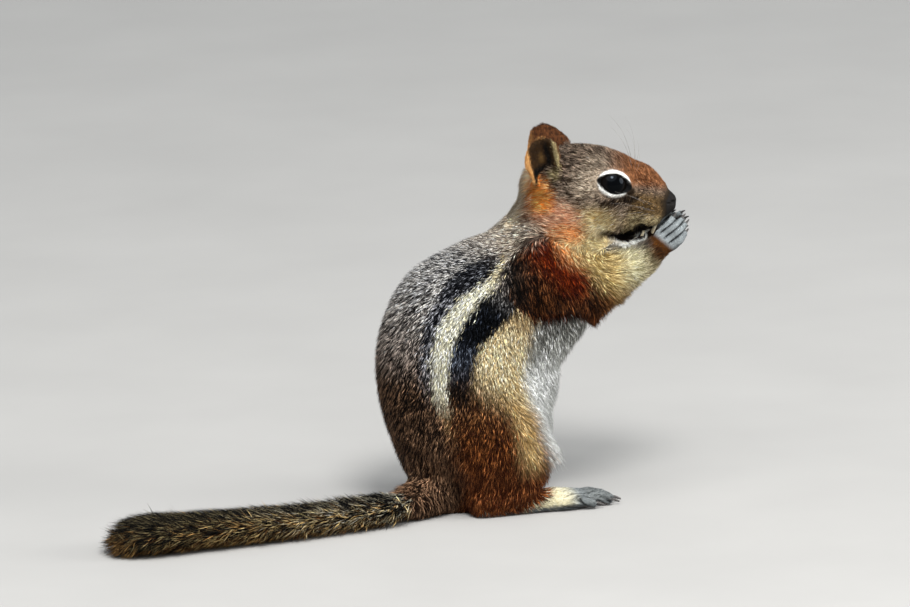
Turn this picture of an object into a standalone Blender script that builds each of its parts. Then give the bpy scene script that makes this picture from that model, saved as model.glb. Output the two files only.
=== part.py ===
"""A golden-mantled ground squirrel that sits up and eats, as a still, life-size model.

The animal faces +X, its right side is towards -Y, and it rests on Z = 0. The
body is built of tubes through named stations and fused to one skin, which thin
cuts then part into the pieces that a person would name. Lengths are in
millimetres until build() scales everything to metres.
"""

import math

import bmesh
import bpy
import numpy as np
from mathutils import Matrix, Vector

MM = 0.001
GAP = 0.3                       # clearance between two pieces
RIGHT, LEFT = -1, 1             # sides of the animal, as the sign of Y
SIDES = (RIGHT, LEFT)
FLAT_ANGLE = math.radians(3)    # facets closer than this are joined
SHARP_ANGLE = math.radians(50)  # edges sharper than this keep a hard shade
FLOOR_SINK = 0.35               # depth that the resting flats are cut into the coat

HEAD_PLACE = Vector((28.8, -2.0, 96.2))
HEAD_TURN = math.radians(-20)   # towards its right
HEAD_NOD = math.radians(13.8)   # nose down
FACE_FRAME = Matrix.Translation(HEAD_PLACE) @ Matrix.Rotation(HEAD_TURN, 4, "Z")
HEAD_FRAME = FACE_FRAME @ Matrix.Rotation(HEAD_NOD, 4, "Y")

EYE_RADIUS = 5.4
EYE_PLACE = (14.2, 7.1, 6.8)
EYE_LOOK = (0.22, 0.955, 0.19)
EYE_OPENING = (4.75, 3.15)      # half length and half height of the slit
EYE_SLANT = math.radians(5)
EAR_ROOT = (-4.8, 10.4, 4.8)
EAR_LEAN = (-0.40, 0.22, 0.89)
EAR_OPENING = (0.12, 0.98, 0.05)
EAR_HEIGHT = 15.8
EAR_HALF_WIDTH = 5.2
EAR_DEPTH = 4.6
EAR_WALL = 1.2

WRIST = (30.0, 6.2, -17.2)      # in the face's frame, on the left side
FINGER_REACH = Vector((0.75, 0, 0.66))
FINGER_SPACING = 1.95
FINGER_LENGTHS = (6.6, 8.0, 7.6, 6.0)
FOOT_SET_BACK = {RIGHT: 0.0, LEFT: 8.0}
FOOT_Y = 20.8
TOES = ((-4.2, 18.5, 26.0), (-2.3, 23.0, 34.2), (0.0, 24.0, 35.6), (2.3, 23.0, 34.0),
        (4.3, 17.5, 28.0))      # sideways place, root and tip of each, innermost first

# Trunk and neck: centre x, centre z, half depth, half width, from the rump up.
SPINE = (
    (-4.0, -1.0, 15.0, 14.0),
    (-0.5, 8.0, 21.4, 19.5),
    (-1.6, 20.0, 25.0, 22.5),
    (-3.4, 33.0, 27.2, 23.6),
    (-4.4, 42.0, 27.8, 23.8),
    (-3.4, 50.0, 27.8, 23.6),
    (1.2, 58.3, 26.6, 22.8),
    (9.8, 67.4, 21.4, 20.0),
    (17.0, 75.0, 15.8, 17.0),
    (22.6, 84.0, 12.4, 14.4),
    (26.5, 92.0, 11.4, 12.6),
)
# Head: distance forward, top, bottom and half width, in the head's frame.
SKULL = (
    (-10.0, 7.6, -7.0, 6.5),
    (-6.6, 11.4, -11.0, 9.8),
    (-1.0, 14.4, -14.5, 12.6),
    (6.0, 15.8, -15.2, 13.8),
    (13.0, 16.3, -13.6, 12.8),
    (18.5, 15.3, -10.8, 10.4),
    (23.5, 13.2, -8.0, 7.8),
    (28.0, 10.4, -5.6, 6.0),
    (32.0, 8.2, -3.6, 4.6),
    (34.8, 6.4, -0.4, 3.0),
)
JAW = (
    (0.0, -6.0, -17.0, 9.5),
    (11.0, -9.0, -16.4, 8.4),
    (18.5, -11.3, -15.0, 7.0),
    (24.0, -10.6, -14.2, 5.6),
    (28.6, -9.4, -12.6, 3.9),
)
# Tail, from the root: x, y, half width and half height. It lies on the floor.
TAIL = (
    (-8.0, -2.0, 11.0, 8.6),
    (-19.0, -7.0, 9.0, 6.8),
    (-31.0, -13.0, 8.0, 5.4),
    (-48.0, -16.6, 8.4, 5.2),
    (-68.0, -17.6, 9.2, 5.3),
    (-90.0, -17.2, 10.4, 5.6),
    (-108.0, -16.2, 11.6, 6.0),
    (-120.0, -15.4, 10.2, 5.6),
    (-127.0, -15.0, 6.2, 3.8),
)
COATS = {
    "trunk": (0.20, 0.13, 0.08), "neck": (0.55, 0.26, 0.10), "head": (0.36, 0.24, 0.15),
    "ear": (0.30, 0.18, 0.11), "upper_arm": (0.42, 0.17, 0.07), "forearm": (0.70, 0.58, 0.38),
    "hand": (0.55, 0.53, 0.50), "thigh": (0.33, 0.16, 0.08), "foot": (0.66, 0.58, 0.44),
    "tail": (0.22, 0.17, 0.10),
}
EYE_COLOUR = (0.006, 0.005, 0.006)
CLAW_COLOUR = (0.05, 0.045, 0.045)
TOOTH_COLOUR = (0.80, 0.66, 0.40)


def catmull(rows, count):
    """Rows of numbers, as points on a smooth curve through the given rows."""
    rows = np.array(rows, float)
    ends = np.vstack([2 * rows[0] - rows[1], rows, 2 * rows[-1] - rows[-2]])
    found = []
    for t in np.linspace(0, len(rows) - 1, count):
        i = min(int(t), len(rows) - 2)
        u = t - i
        p0, p1, p2, p3 = ends[i:i + 4]
        found.append(0.5 * (2 * p1 + (p2 - p0) * u + (2 * p0 - 5 * p1 + 4 * p2 - p3) * u ** 2
                            + (3 * p1 - p0 - 3 * p2 + p3) * u ** 3))
    return np.array(found)


def new_object(name, shape):
    """A linked object from a mesh, or from a bmesh that is then freed."""
    mesh = shape
    if isinstance(shape, bmesh.types.BMesh):
        mesh = bpy.data.meshes.new(name)
        shape.to_mesh(mesh)
        shape.free()
    made = bpy.data.objects.new(name, mesh)
    bpy.context.scene.collection.objects.link(made)
    return made


def tube(stations, side=(0, 1, 0), frame=None, around=28, count=None, dome=0.6,
         lifts=(0.97, 0.75, 0.4)):
    """A closed tube through stations of x, y, z, half width along side, and half height."""
    count = count or 4 * len(stations)
    path = catmull(stations, count)
    centres = [Vector(row[:3]) for row in path]
    bm = bmesh.new()
    rings = []

    def ring(centre, along, half_width, half_height):
        across = (Vector(side) - Vector(side).dot(along) * along).normalized()
        over = along.cross(across)
        turns = (2 * math.pi * k / around for k in range(around))
        rings.append([bm.verts.new(centre + across * half_width * math.cos(a)
                                   + over * half_height * math.sin(a)) for a in turns])

    tangents = [(centres[min(k + 1, count - 1)] - centres[max(k - 1, 0)]).normalized()
                for k in range(count)]
    for end, sign, order in ((0, -1, lifts), (-1, 1, lifts[::-1])):
        if sign == 1:
            for centre, along, row in zip(centres, tangents, path):
                ring(centre, along, row[3], row[4])
        for lift in order:
            size = math.sqrt(1 - lift ** 2)
            reach = sign * dome * lift * min(path[end][3:5])
            ring(centres[end] + tangents[end] * reach, tangents[end],
                 path[end][3] * size, path[end][4] * size)
    for low, high in zip(rings, rings[1:]):
        for k in range(around):
            bm.faces.new((low[k], low[(k + 1) % around], high[(k + 1) % around], high[k]))
    bm.faces.new(reversed(rings[0]))
    bm.faces.new(rings[-1])
    if frame is not None:
        bm.transform(frame)
    return new_object("tube", bm)


def blob(place, radii, frame, yaw=0.0, pitch=0.0, segments=28):
    """An ellipsoid, pitched about Y and then yawed about Z, in degrees."""
    bm = bmesh.new()
    bmesh.ops.create_uvsphere(bm, u_segments=segments, v_segments=segments * 2 // 3, radius=1)
    bm.transform(Matrix.Diagonal((*radii, 1)))
    bm.transform(Matrix.Rotation(math.radians(pitch), 4, "Y"))
    bm.transform(Matrix.Rotation(math.radians(yaw), 4, "Z"))
    bm.transform(Matrix.Translation(place))
    bm.transform(frame)
    return new_object("blob", bm)


def prism(outline, low, high, frame):
    """A closed prism from a convex outline in the frame's XY plane, between two heights."""
    bm = bmesh.new()
    bottom = [bm.verts.new((x, y, low)) for x, y in outline]
    top = [bm.verts.new((x, y, high)) for x, y in outline]
    for k in range(len(outline)):
        after = (k + 1) % len(outline)
        bm.faces.new((bottom[k], bottom[after], top[after], top[k]))
    bm.faces.new(reversed(bottom))
    bm.faces.new(top)
    bm.transform(frame)
    return new_object("prism", bm)


def oval(half_length, half_height, corners, power=2.0):
    """Corners of an oval in XY. A power under 2 draws its ends out to points."""
    turns = [2 * math.pi * (k + 0.5) / corners for k in range(corners)]
    return [(half_length * math.copysign(abs(math.cos(a)) ** (2 / power), math.cos(a)),
             half_height * math.copysign(abs(math.sin(a)) ** (2 / power), math.sin(a)))
            for a in turns]


def frame_at(place, z_axis, x_hint):
    """A frame at place whose Z is z_axis and whose X is nearest to x_hint."""
    z = Vector(z_axis).normalized()
    x = (Vector(x_hint) - Vector(x_hint).dot(z) * z).normalized()
    y = z.cross(x)
    turn = Matrix((x, y, z)).transposed().to_4x4()
    return Matrix.Translation(place) @ turn


def applied(obj):
    """obj with its modifiers turned into its own mesh."""
    graph = bpy.context.evaluated_depsgraph_get()
    mesh = bpy.data.meshes.new_from_object(obj.evaluated_get(graph), depsgraph=graph)
    obj.modifiers.clear()
    obj.data = mesh
    return obj


def fused(pieces, voxel, smoothing, name):
    """One closed skin round all the pieces, with its creases softened."""
    bm = bmesh.new()
    for piece in pieces:
        bm.from_mesh(piece.data)
        bpy.data.objects.remove(piece)
    made = new_object(name, bm)
    remesh = made.modifiers.new("fuse", "REMESH")
    remesh.mode = "VOXEL"
    remesh.voxel_size = voxel
    applied(made)
    bm = bmesh.new()
    bm.from_mesh(made.data)
    for _ in range(smoothing):
        bmesh.ops.smooth_vert(bm, verts=bm.verts, factor=0.5,
                              use_axis_x=True, use_axis_y=True, use_axis_z=True)
    bm.to_mesh(made.data)
    bm.free()
    return made


def thinned(obj, triangles):
    """obj with about that many triangles."""
    obj.data.calc_loop_triangles()
    decimate = obj.modifiers.new("thin", "DECIMATE")
    decimate.ratio = min(1.0, triangles / len(obj.data.loop_triangles))
    return applied(obj)


def boolean(obj, other, operation):
    """obj after a Boolean with other. other is kept."""
    cut = obj.modifiers.new("cut", "BOOLEAN")
    cut.operation = operation
    cut.solver = "EXACT"
    cut.object = other
    return applied(obj)


def grown(obj, by):
    """A copy of obj with its surface moved out."""
    bm = bmesh.new()
    bm.from_mesh(obj.data)
    bm.normal_update()
    moves = [(v, v.normal * by * v.calc_shell_factor()) for v in bm.verts]
    for vert, move in moves:
        vert.co += move
    return new_object("grown", bm)


def main_shell(obj):
    """obj without the crumbs that a cut may leave beside its main shell."""
    bm = bmesh.new()
    bm.from_mesh(obj.data)
    bmesh.ops.remove_doubles(bm, verts=bm.verts, dist=2e-3)
    bmesh.ops.dissolve_degenerate(bm, edges=bm.edges, dist=2e-3)
    todo, shells = set(bm.verts), []
    while todo:
        shell, front = set(), [todo.pop()]
        while front:
            vert = front.pop()
            shell.add(vert)
            near = {edge.other_vert(vert) for edge in vert.link_edges} & todo
            todo -= near
            front.extend(near)
        shells.append(shell)
    shells.sort(key=len)
    for shell in shells[:-1]:
        bmesh.ops.delete(bm, geom=list(shell), context="VERTS")
    bmesh.ops.dissolve_limit(bm, angle_limit=FLAT_ANGLE, verts=bm.verts, edges=bm.edges)
    bmesh.ops.triangulate(bm, faces=bm.faces)
    bm.to_mesh(obj.data)
    bm.free()
    return obj


def part_off(body, cutter, name):
    """Takes what lies inside cutter out of body as a piece, with a thin cut between them."""
    piece = new_object(name, body.data.copy())
    boolean(piece, cutter, "INTERSECT")
    wide = grown(cutter, GAP)
    boolean(body, wide, "DIFFERENCE")
    bpy.data.objects.remove(wide)
    bpy.data.objects.remove(cutter)
    main_shell(body)
    return main_shell(piece)


def make_room(body, inner):
    """Hollows body where inner lies, with clearance all round."""
    wide = grown(inner, GAP)
    boolean(body, wide, "DIFFERENCE")
    bpy.data.objects.remove(wide)
    return main_shell(body)


def half_space(point, normal, reach=400):
    """A block on the side of a plane that normal points to."""
    frame = frame_at(Vector(point), normal, (0.31, 0.77, 0.55))
    edge = reach / 2
    square = ((-edge, -edge), (edge, -edge), (edge, edge), (-edge, edge))
    return prism(square, 0, reach, frame)


def level_base(obj):
    """obj cut level at the floor, if it reaches the floor."""
    if min(v.co.z for v in obj.data.vertices) >= 0:
        return obj
    under = half_space((0, 0, 0), (0, 0, -1))
    boolean(obj, under, "DIFFERENCE")
    bpy.data.objects.remove(under)
    return main_shell(obj)


def side_name(stem, side):
    """A node name for one side of the animal."""
    return f"{stem}_{'left' if side == LEFT else 'right'}"


# ---------------------------------------------------------------- body shapes


def sided(place, side):
    """A place given for the left side, on either side."""
    return Vector((place[0], place[1] * side, place[2]))


def arm_lines(side):
    """Stations of the upper arm and of the forearm. Both hands meet at the turned mouth."""
    wrist = FACE_FRAME @ sided(WRIST, side)
    elbow = Vector((35.0, -20.2, 66.0)) if side == RIGHT else Vector((38.0, 14.0, 64.0))
    shoulder = Vector((14.5, 13.5 * side, 74.0))
    upper_middle = (shoulder + elbow) / 2 + Vector((-0.5, 1.2 * side, -1.8))
    lower_middle = (elbow + wrist) / 2 + Vector((0.4, 0.0, 0.2))
    upper = [(*shoulder, 8.0, 11.0), (*upper_middle, 8.0, 11.6), (*elbow, 7.4, 9.8)]
    lower = [(*elbow, 6.6, 9.2), (*lower_middle, 5.4, 6.9), (*wrist, 3.4, 3.6)]
    return upper, lower


def torso_shapes():
    """Trunk, neck, throat, haunches, shanks, upper arms and tail."""
    spine = [(x, -0.10 * max(0, z - 78), z, wide, deep) for x, z, deep, wide in SPINE]
    throat = [(28.0, -2.0, 72.0, 11.0, 8.0), (33.0, -4.0, 78.0, 9.5, 7.0),
              (38.0, -6.0, 83.0, 8.0, 6.0)]
    breast = [(31.0, -1.0, 64.0, 12.0, 9.0), (22.5, 0.0, 51.0, 15.0, 10.2),
              (14.0, 0.0, 38.0, 16.0, 11.5)]
    pieces = [tube(spine, count=50, around=40), tube(throat), tube(breast)]
    for side in SIDES:
        back = 0.5 * FOOT_SET_BACK[side]
        pieces.append(tube([(-13.0, 12 * side, 31, 11, 15.5),
                            (-2.0 - back * 0.5, 17 * side, 24, 12, 17),
                            (8.0 - back, 19.0 * side, 15.5, 9.5, 12.5),
                            (12.0 - back, 19.4 * side, 10.5, 7.0, 8.5)]))
        pieces.append(tube([(11.5 - back, 19.4 * side, 9, 7, 6.5),
                            (1 - back, 19 * side, 6.5, 6.5, 6.5),
                            (-8 - back, 18.0 * side, 5, 5, 5)]))
        pieces.append(tube(arm_lines(side)[0]))
    pieces.append(tube([(x, y, high - FLOOR_SINK, wide, high) for x, y, wide, high in TAIL],
                       count=46))
    return pieces


def profile_tube(rows):
    """A tube along the head whose stations give the top and bottom of each section."""
    stations = [(x, 0, (top + bottom) / 2, wide, (top - bottom) / 2)
                for x, top, bottom, wide in rows]
    return tube(stations, frame=HEAD_FRAME)


def head_shapes():
    """Skull and muzzle, jaw, cheeks, brows, whisker pads and nose."""
    pieces = [profile_tube(SKULL), profile_tube(JAW)]
    for side in SIDES:
        for place, radii, yaw, pitch in (
                ((4.0, 7.8, -7.2), (11.5, 6.8, 8.6), 0, 0),
                ((14.6, 7.6, 10.6), (7.4, 3.2, 3.2), -10, 6),
                ((14.8, 8.8, 7.0), (7.0, 3.9, 5.2), -12, 5),
                ((15.0, 8.6, 1.0), (7.8, 3.6, 3.2), -14, 0),
                ((28.4, 2.9, -1.4), (4.8, 3.5, 3.8), 0, 0)):
            pieces.append(blob(sided(place, side), radii, HEAD_FRAME, yaw * side, pitch))
    pieces.append(blob((34.2, 0, 4.4), (2.3, 2.9, 2.5), HEAD_FRAME))
    return pieces


def eye_shapes(side):
    """The eyeball, and the slit that its lids leave open."""
    look = sided(EYE_LOOK, side).normalized()
    centre = sided(EYE_PLACE, side)
    ball = blob(centre, (EYE_RADIUS,) * 3, HEAD_FRAME, segments=12)
    frame = frame_at(centre, look, (math.cos(EYE_SLANT), 0, -math.sin(EYE_SLANT)))
    slit = prism(oval(*EYE_OPENING, corners=18, power=1.75), 0.5, 14, HEAD_FRAME @ frame)
    return ball, slit


def ear(side):
    """A cupped ear, open outwards and a little forwards."""
    lean = sided(EAR_LEAN, side).normalized()
    opening = sided(EAR_OPENING, side)
    opening = (opening - opening.dot(lean) * lean).normalized()
    across = lean.cross(opening).normalized()
    rows, columns = 8, 8
    bm = bmesh.new()
    grid = []
    for i in range(rows):
        v = i / (rows - 1)
        half_width = EAR_HALF_WIDTH * math.sin(math.pi * (0.24 + 0.68 * v)) ** 0.6
        depth = EAR_DEPTH * (1 - 0.6 * v)
        line = []
        for j in range(columns):
            turn = math.pi * (j / (columns - 1) - 0.5)
            drop = 1.6 * v ** 2 * math.sin(turn) ** 2
            line.append(bm.verts.new(sided(EAR_ROOT, side)
                                     + lean * (EAR_HEIGHT * v - 2.0 - drop)
                                     + across * half_width * math.sin(turn)
                                     - opening * depth * math.cos(turn)))
        grid.append(line)
    for low, high in zip(grid, grid[1:]):
        for k in range(columns - 1):
            bm.faces.new((low[k], low[k + 1], high[k + 1], high[k]))
    bmesh.ops.recalc_face_normals(bm, faces=bm.faces)
    made = new_object(side_name("ear", side), bm)
    wall = made.modifiers.new("wall", "SOLIDIFY")
    wall.thickness = EAR_WALL
    wall.offset = 0
    applied(made)
    made.data.transform(HEAD_FRAME)
    return made


def finger_lines(side):
    """Knuckle, middle joint and tip of the four fingers, from the first down."""
    across = Vector((FINGER_REACH.z, 0, -FINGER_REACH.x))
    root = sided(WRIST, side) + FINGER_REACH * 3.0
    lines = []
    for number, length in enumerate(FINGER_LENGTHS):
        place = FINGER_SPACING * (number - 1.5)
        fan = (FINGER_REACH + across * 0.01 * place).normalized()
        knuckle = root + across * place - FINGER_REACH * 0.06 * place ** 2
        middle = knuckle + fan * length * 0.55 + Vector((0, 0.7 * side, 0))
        tip = knuckle + fan * length * 0.95 + Vector((0, -1.7 * side, 0)) - across * 0.3
        lines.append((knuckle, middle, tip))
    return lines


def hand_shapes(side):
    """A hand with four bent fingers and a thumb stub."""
    wrist = sided(WRIST, side)
    palm = [(*(wrist - FINGER_REACH * 2.5), 3.0, 3.3), (*wrist, 2.7, 3.4),
            (*(wrist + FINGER_REACH * 2.2), 2.1, 4.1), (*(wrist + FINGER_REACH * 4.2), 1.5, 4.1)]
    pieces = [tube(palm, frame=FACE_FRAME)]
    for knuckle, middle, tip in finger_lines(side):
        pieces.append(tube([(*knuckle, 1.15, 1.15), (*middle, 1.05, 1.05), (*tip, 0.9, 0.9)],
                           frame=FACE_FRAME, around=16))
    thumb = wrist + Vector((1.0, -1.9 * side, 3.2))
    pieces.append(blob(thumb, (1.8, 1.1, 1.2), FACE_FRAME, pitch=-45))
    return pieces


def toe_lines(side):
    """Root, knuckle and tip of the five toes of a foot, from the innermost out."""
    lines = []
    for sideways, root_x, tip_x in TOES:
        y = (FOOT_Y + sideways) * side
        spread = 0.10 * sideways * side
        back = FOOT_SET_BACK[side]
        lines.append((Vector((root_x - back, y, 3.3)),
                      Vector(((root_x + 1.3 * tip_x) / 2.3 - back, y + spread, 3.6)),
                      Vector((tip_x - back, y + 2 * spread, 1.55))))
    return lines


def foot_shapes(side):
    """A long flat foot with five toes."""
    back = FOOT_SET_BACK[side]
    sole = [(-7.0, 18.6, 3.1, 3.6, 3.8), (4.0, 19.4, 3.2, 4.0, 3.8), (13.0, 20.4, 3.1, 4.3, 3.7),
            (20.0, 20.8, 2.9, 5.1, 3.5), (26.0, 20.8, 2.4, 4.5, 3.1)]
    pieces = [tube([(x - back, y * side, z, wide, high) for x, y, z, wide, high in sole])]
    for root, knuckle, tip in toe_lines(side):
        pieces.append(tube([(*root, 1.5, 1.8), (*knuckle, 1.4, 1.7), (*tip, 1.2, 1.35)],
                           around=16))
    return pieces


def claw(root, reach, droop, radius):
    """A curved claw from root, along reach, whose tip turns towards droop."""
    rows = [(*(root + reach * t + droop * t * t), radius * (1 - 0.62 * t),
             radius * (1 - 0.56 * t)) for t in (0.0, 0.34, 0.67, 1.0)]
    return tube(rows, side=reach.cross(droop).normalized(), around=4, count=3, dome=0.6,
                lifts=(0.7,))


def claws(side):
    """Named claws of one hand and one foot, innermost first."""
    made = []
    into_face = FACE_FRAME.to_3x3()
    for number, (_, middle, tip) in enumerate(finger_lines(side), 1):
        along = (tip - middle).normalized()
        droop = Vector((0.1, -0.9 * side, -0.2))
        nail = claw(FACE_FRAME @ (tip - along * 0.3), into_face @ (along * 2.3),
                    into_face @ droop, 0.52)
        nail.name = f"{side_name('finger_claw', side)}_{number}"
        made.append(nail)
    for number, (_, knuckle, tip) in enumerate(toe_lines(side), 1):
        along = (tip - knuckle).normalized()
        nail = claw(tip - along * 0.4 + Vector((0, 0, 0.3)), Vector((3.3, along.y * 3, 0.1)),
                    Vector((0, 0, -1.1)), 0.62)
        nail.name = f"{side_name('toe_claw', side)}_{number}"
        made.append(nail)
    return made


def incisors():
    """Two upper and two lower front teeth."""
    made = []
    for side in SIDES:
        for stem, root, reach, droop in (
                ("upper_incisor", (30.8, 0.85, -2.6), (0.6, 0, -4.4), (-0.9, 0, -0.2)),
                ("lower_incisor", (27.0, 0.75, -11.0), (1.3, 0, 3.0), (-0.5, 0, 0.7))):
            rows = [(*(sided(root, side) + Vector(reach) * t + Vector(droop) * t * t),
                     0.62, 0.55 - 0.1 * t) for t in (0.0, 0.5, 1.0)]
            tooth = tube(rows, frame=HEAD_FRAME, around=5, count=3, dome=0.4, lifts=(0.7,))
            tooth.name = side_name(stem, side)
            made.append(tooth)
    return made


# -------------------------------------------------------------------- parting


def haunch_cutter(side):
    """A rounded block round a haunch and its folded shank."""
    back = 0.5 * FOOT_SET_BACK[side]
    outline = oval(19.5, 22.5, corners=14, power=2.6)
    frame = frame_at(Vector((-1.5 - back * 0.6, 0, 15.5)), (0, side, 0), (0.94, 0, -0.34))
    return prism(outline, 12.5, 40, frame)


def shoulder_cutter(side):
    """A rounded block round an upper arm."""
    shoulder, elbow = (Vector(arm_lines(side)[0][k][:3]) for k in (0, 2))
    middle = (shoulder + elbow) / 2
    outline = oval(23.0, 14.0, corners=14, power=2.4)
    frame = frame_at(Vector((middle.x + 2.5, 0, middle.z - 1.0)), (0, side, 0),
                     (elbow.x - shoulder.x, 0, elbow.z - shoulder.z))
    return prism(outline, 11.0, 40, frame)


def part_torso(torso):
    """Parts the torso into trunk, haunches, upper arms and lengths of tail."""
    nodes = []
    tail = part_off(torso, half_space((-30, -10, 5), (-1, -0.30, -0.1)), "tail_root")
    for place, name in (((-64, -17, 5), "tail_middle"), ((-98, -17, 5), "tail_end")):
        rest = part_off(tail, half_space(place, (-1, 0, 0)), name)
        nodes.append(tail)
        tail = rest
    nodes.append(tail)
    for side in SIDES:
        nodes.append(part_off(torso, haunch_cutter(side), side_name("thigh", side)))
        nodes.append(part_off(torso, shoulder_cutter(side), side_name("upper_arm", side)))
    torso.name = "trunk"
    return [torso, *nodes]


def extremities(side):
    """Forearm with hand, and foot, as fused skins before any parting."""
    arm = fused([tube(arm_lines(side)[1]), *hand_shapes(side)], 0.36, 3, "arm")
    foot = fused(foot_shapes(side), 0.36, 3, side_name("foot", side))
    return thinned(arm, 410), level_base(thinned(foot, 310))


def model():
    """All pieces in millimetres, parted and clear of each other."""
    torso = fused(torso_shapes(), 1.0, 8, "torso")
    body = fused([torso, *head_shapes()], 0.6, 4, "body")
    nape = half_space((22.6, -1.5, 84.5), (0.50, -0.05, 0.86))
    head = thinned(part_off(body, nape, "head"), 1120)
    nodes = part_torso(thinned(body, 1450))
    trunk = nodes[0]
    neck = part_off(trunk, half_space((13.5, 0, 77.0), (0.55, 0, 0.83)), "neck")
    nodes += [head, neck]
    named = {node.name: node for node in nodes}
    for side in SIDES:
        arm, foot = extremities(side)
        wrist = FACE_FRAME @ sided(WRIST, side)
        reach = FACE_FRAME.to_3x3() @ FINGER_REACH
        hand = part_off(arm, half_space(wrist - reach * 0.6, reach), side_name("hand", side))
        arm.name = side_name("forearm", side)
        for body_part in (named[side_name("upper_arm", side)], neck, head, trunk):
            make_room(body_part, arm)
            make_room(body_part, hand)
        make_room(named[side_name("thigh", side)], foot)
        make_room(trunk, foot)
        ball, slit = eye_shapes(side)
        ball.name = side_name("eye", side)
        boolean(head, slit, "DIFFERENCE")
        bpy.data.objects.remove(slit)
        make_room(head, ball)
        shell = ear(side)
        make_room(head, shell)
        make_room(neck, shell)
        nails = claws(side)
        for nail in nails:
            make_room(foot if nail.name.startswith("toe") else hand, nail)
        nodes += [arm, hand, foot, ball, shell, *nails]
    for tooth in incisors():
        make_room(head, tooth)
        nodes.append(tooth)
    return nodes


def dress(node):
    """Gives a node its own material."""
    material = bpy.data.materials.new(node.name)
    material.use_nodes = True
    shader = material.node_tree.nodes["Principled BSDF"]
    colour, roughness = EYE_COLOUR, 0.1
    if "claw" in node.name:
        colour, roughness = CLAW_COLOUR, 0.4
    elif "incisor" in node.name:
        colour, roughness = TOOTH_COLOUR, 0.3
    for stem, coat in COATS.items():
        if node.name.startswith(stem):
            colour, roughness = coat, 0.9
    shader.inputs["Base Color"].default_value = (*colour, 1.0)
    shader.inputs["Roughness"].default_value = roughness
    node.data.materials.clear()
    node.data.materials.append(material)


def build():
    """Models the animal, centres it over the origin and scales it to metres."""
    for old in list(bpy.data.objects):
        bpy.data.objects.remove(old)
    nodes = [level_base(node) for node in model()]
    corners = np.array([v.co for node in nodes for v in node.data.vertices])
    low, high = corners.min(0), corners.max(0)
    shift = Vector((-(low[0] + high[0]) / 2, -(low[1] + high[1]) / 2, -low[2]))
    home = bpy.data.collections.new("ground_squirrel")
    bpy.context.scene.collection.children.link(home)
    stand = bpy.data.objects.new("animal", None)
    home.objects.link(stand)
    for node in nodes:
        node.data.transform(Matrix.Scale(MM, 4) @ Matrix.Translation(shift))
        node.data.shade_smooth()
        node.data.set_sharp_from_angle(angle=SHARP_ANGLE)
        bpy.context.scene.collection.objects.unlink(node)
        home.objects.link(node)
        node.parent = stand
        dress(node)


if __name__ == "__main__":
    build()
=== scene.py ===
"""A golden-mantled ground squirrel that sits up and eats, as a still, life-size museum model.

One skin stands for the solids of flesh, with its own lids, nostrils and lips, and a coat of
solid tufts lies over it. Eyes and whiskers are pieces of their own, and the claws and teeth
are the fixed solids with better finishes. Working lengths are in millimetres in the shared
frame: the animal faces +X, its right side is towards -Y, and it rests on Z = 0.
"""

import logging
import math
from dataclasses import dataclass, field
from enum import Enum, IntEnum

import bmesh
import bpy
import numpy as np
from bpy.types import Material, Mesh, Node, NodeSocket, Object
from mathutils import Matrix, Vector
from mathutils.bvhtree import BVHTree


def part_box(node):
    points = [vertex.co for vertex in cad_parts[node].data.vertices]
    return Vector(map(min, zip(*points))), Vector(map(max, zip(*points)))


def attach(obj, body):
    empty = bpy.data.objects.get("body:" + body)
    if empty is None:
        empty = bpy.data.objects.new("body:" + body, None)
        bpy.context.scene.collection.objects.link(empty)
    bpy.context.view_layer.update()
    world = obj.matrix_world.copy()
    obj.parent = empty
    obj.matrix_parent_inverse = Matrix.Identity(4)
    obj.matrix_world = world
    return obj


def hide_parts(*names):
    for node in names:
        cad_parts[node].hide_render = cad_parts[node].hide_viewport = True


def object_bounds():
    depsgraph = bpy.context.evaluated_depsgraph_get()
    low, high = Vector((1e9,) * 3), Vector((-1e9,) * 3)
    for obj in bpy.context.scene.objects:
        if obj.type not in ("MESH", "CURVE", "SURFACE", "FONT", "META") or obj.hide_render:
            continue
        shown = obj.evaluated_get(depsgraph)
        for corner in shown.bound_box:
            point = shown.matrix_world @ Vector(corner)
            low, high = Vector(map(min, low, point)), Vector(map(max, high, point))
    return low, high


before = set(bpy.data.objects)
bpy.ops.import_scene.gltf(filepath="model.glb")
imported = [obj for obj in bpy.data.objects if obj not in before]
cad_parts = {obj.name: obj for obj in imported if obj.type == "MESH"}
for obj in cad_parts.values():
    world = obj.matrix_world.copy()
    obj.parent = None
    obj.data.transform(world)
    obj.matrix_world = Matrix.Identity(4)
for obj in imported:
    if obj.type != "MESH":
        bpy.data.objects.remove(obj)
CAD_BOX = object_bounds()

MM = 0.001
RIGHT, LEFT = -1, 1
SIDES = (RIGHT, LEFT)
SIDE_NAMES = {RIGHT: "right", LEFT: "left"}
LOG = logging.getLogger("squirrel")

# large factors that turn the place of a cell or lock into its number
CELL_PRIMES = (73856093, 19349663, 83492791)
LOCK_FACTORS = (2654435761, 40503 * 2246822519)
WRAP = 2 ** 32

Colour = tuple[int, int, int]
Triple = tuple[float, float, float]
Rows = np.ndarray


# --- small helpers


def linear(colour: Rows | Colour) -> Rows:
    """Turns screen colours of 0-255 into the linear ones that shaders use."""
    share = np.asarray(colour, float) / 255
    return np.where(share < 0.04045, share / 12.92, ((share + 0.055) / 1.055) ** 2.4)


def smooth(low: float, high: float, value: Rows) -> Rows:
    """A soft step that is 0 at low and 1 at high; high may be the smaller one."""
    t = np.clip((value - low) / (high - low), 0, 1)
    return t * t * (3 - 2 * t)


def band(value: Rows, centre: Rows | float, half: Rows | float, soft: float) -> Rows:
    """A soft-edged band round a centre: 1 in it and 0 outside it."""
    return 1 - smooth(-0.5, 0.5, (np.abs(value - centre) - half) / soft)


def unit(rows: Rows) -> Rows:
    """Rows scaled to length 1."""
    return rows / np.maximum(np.linalg.norm(rows, axis=-1, keepdims=True), 1e-9)


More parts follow.
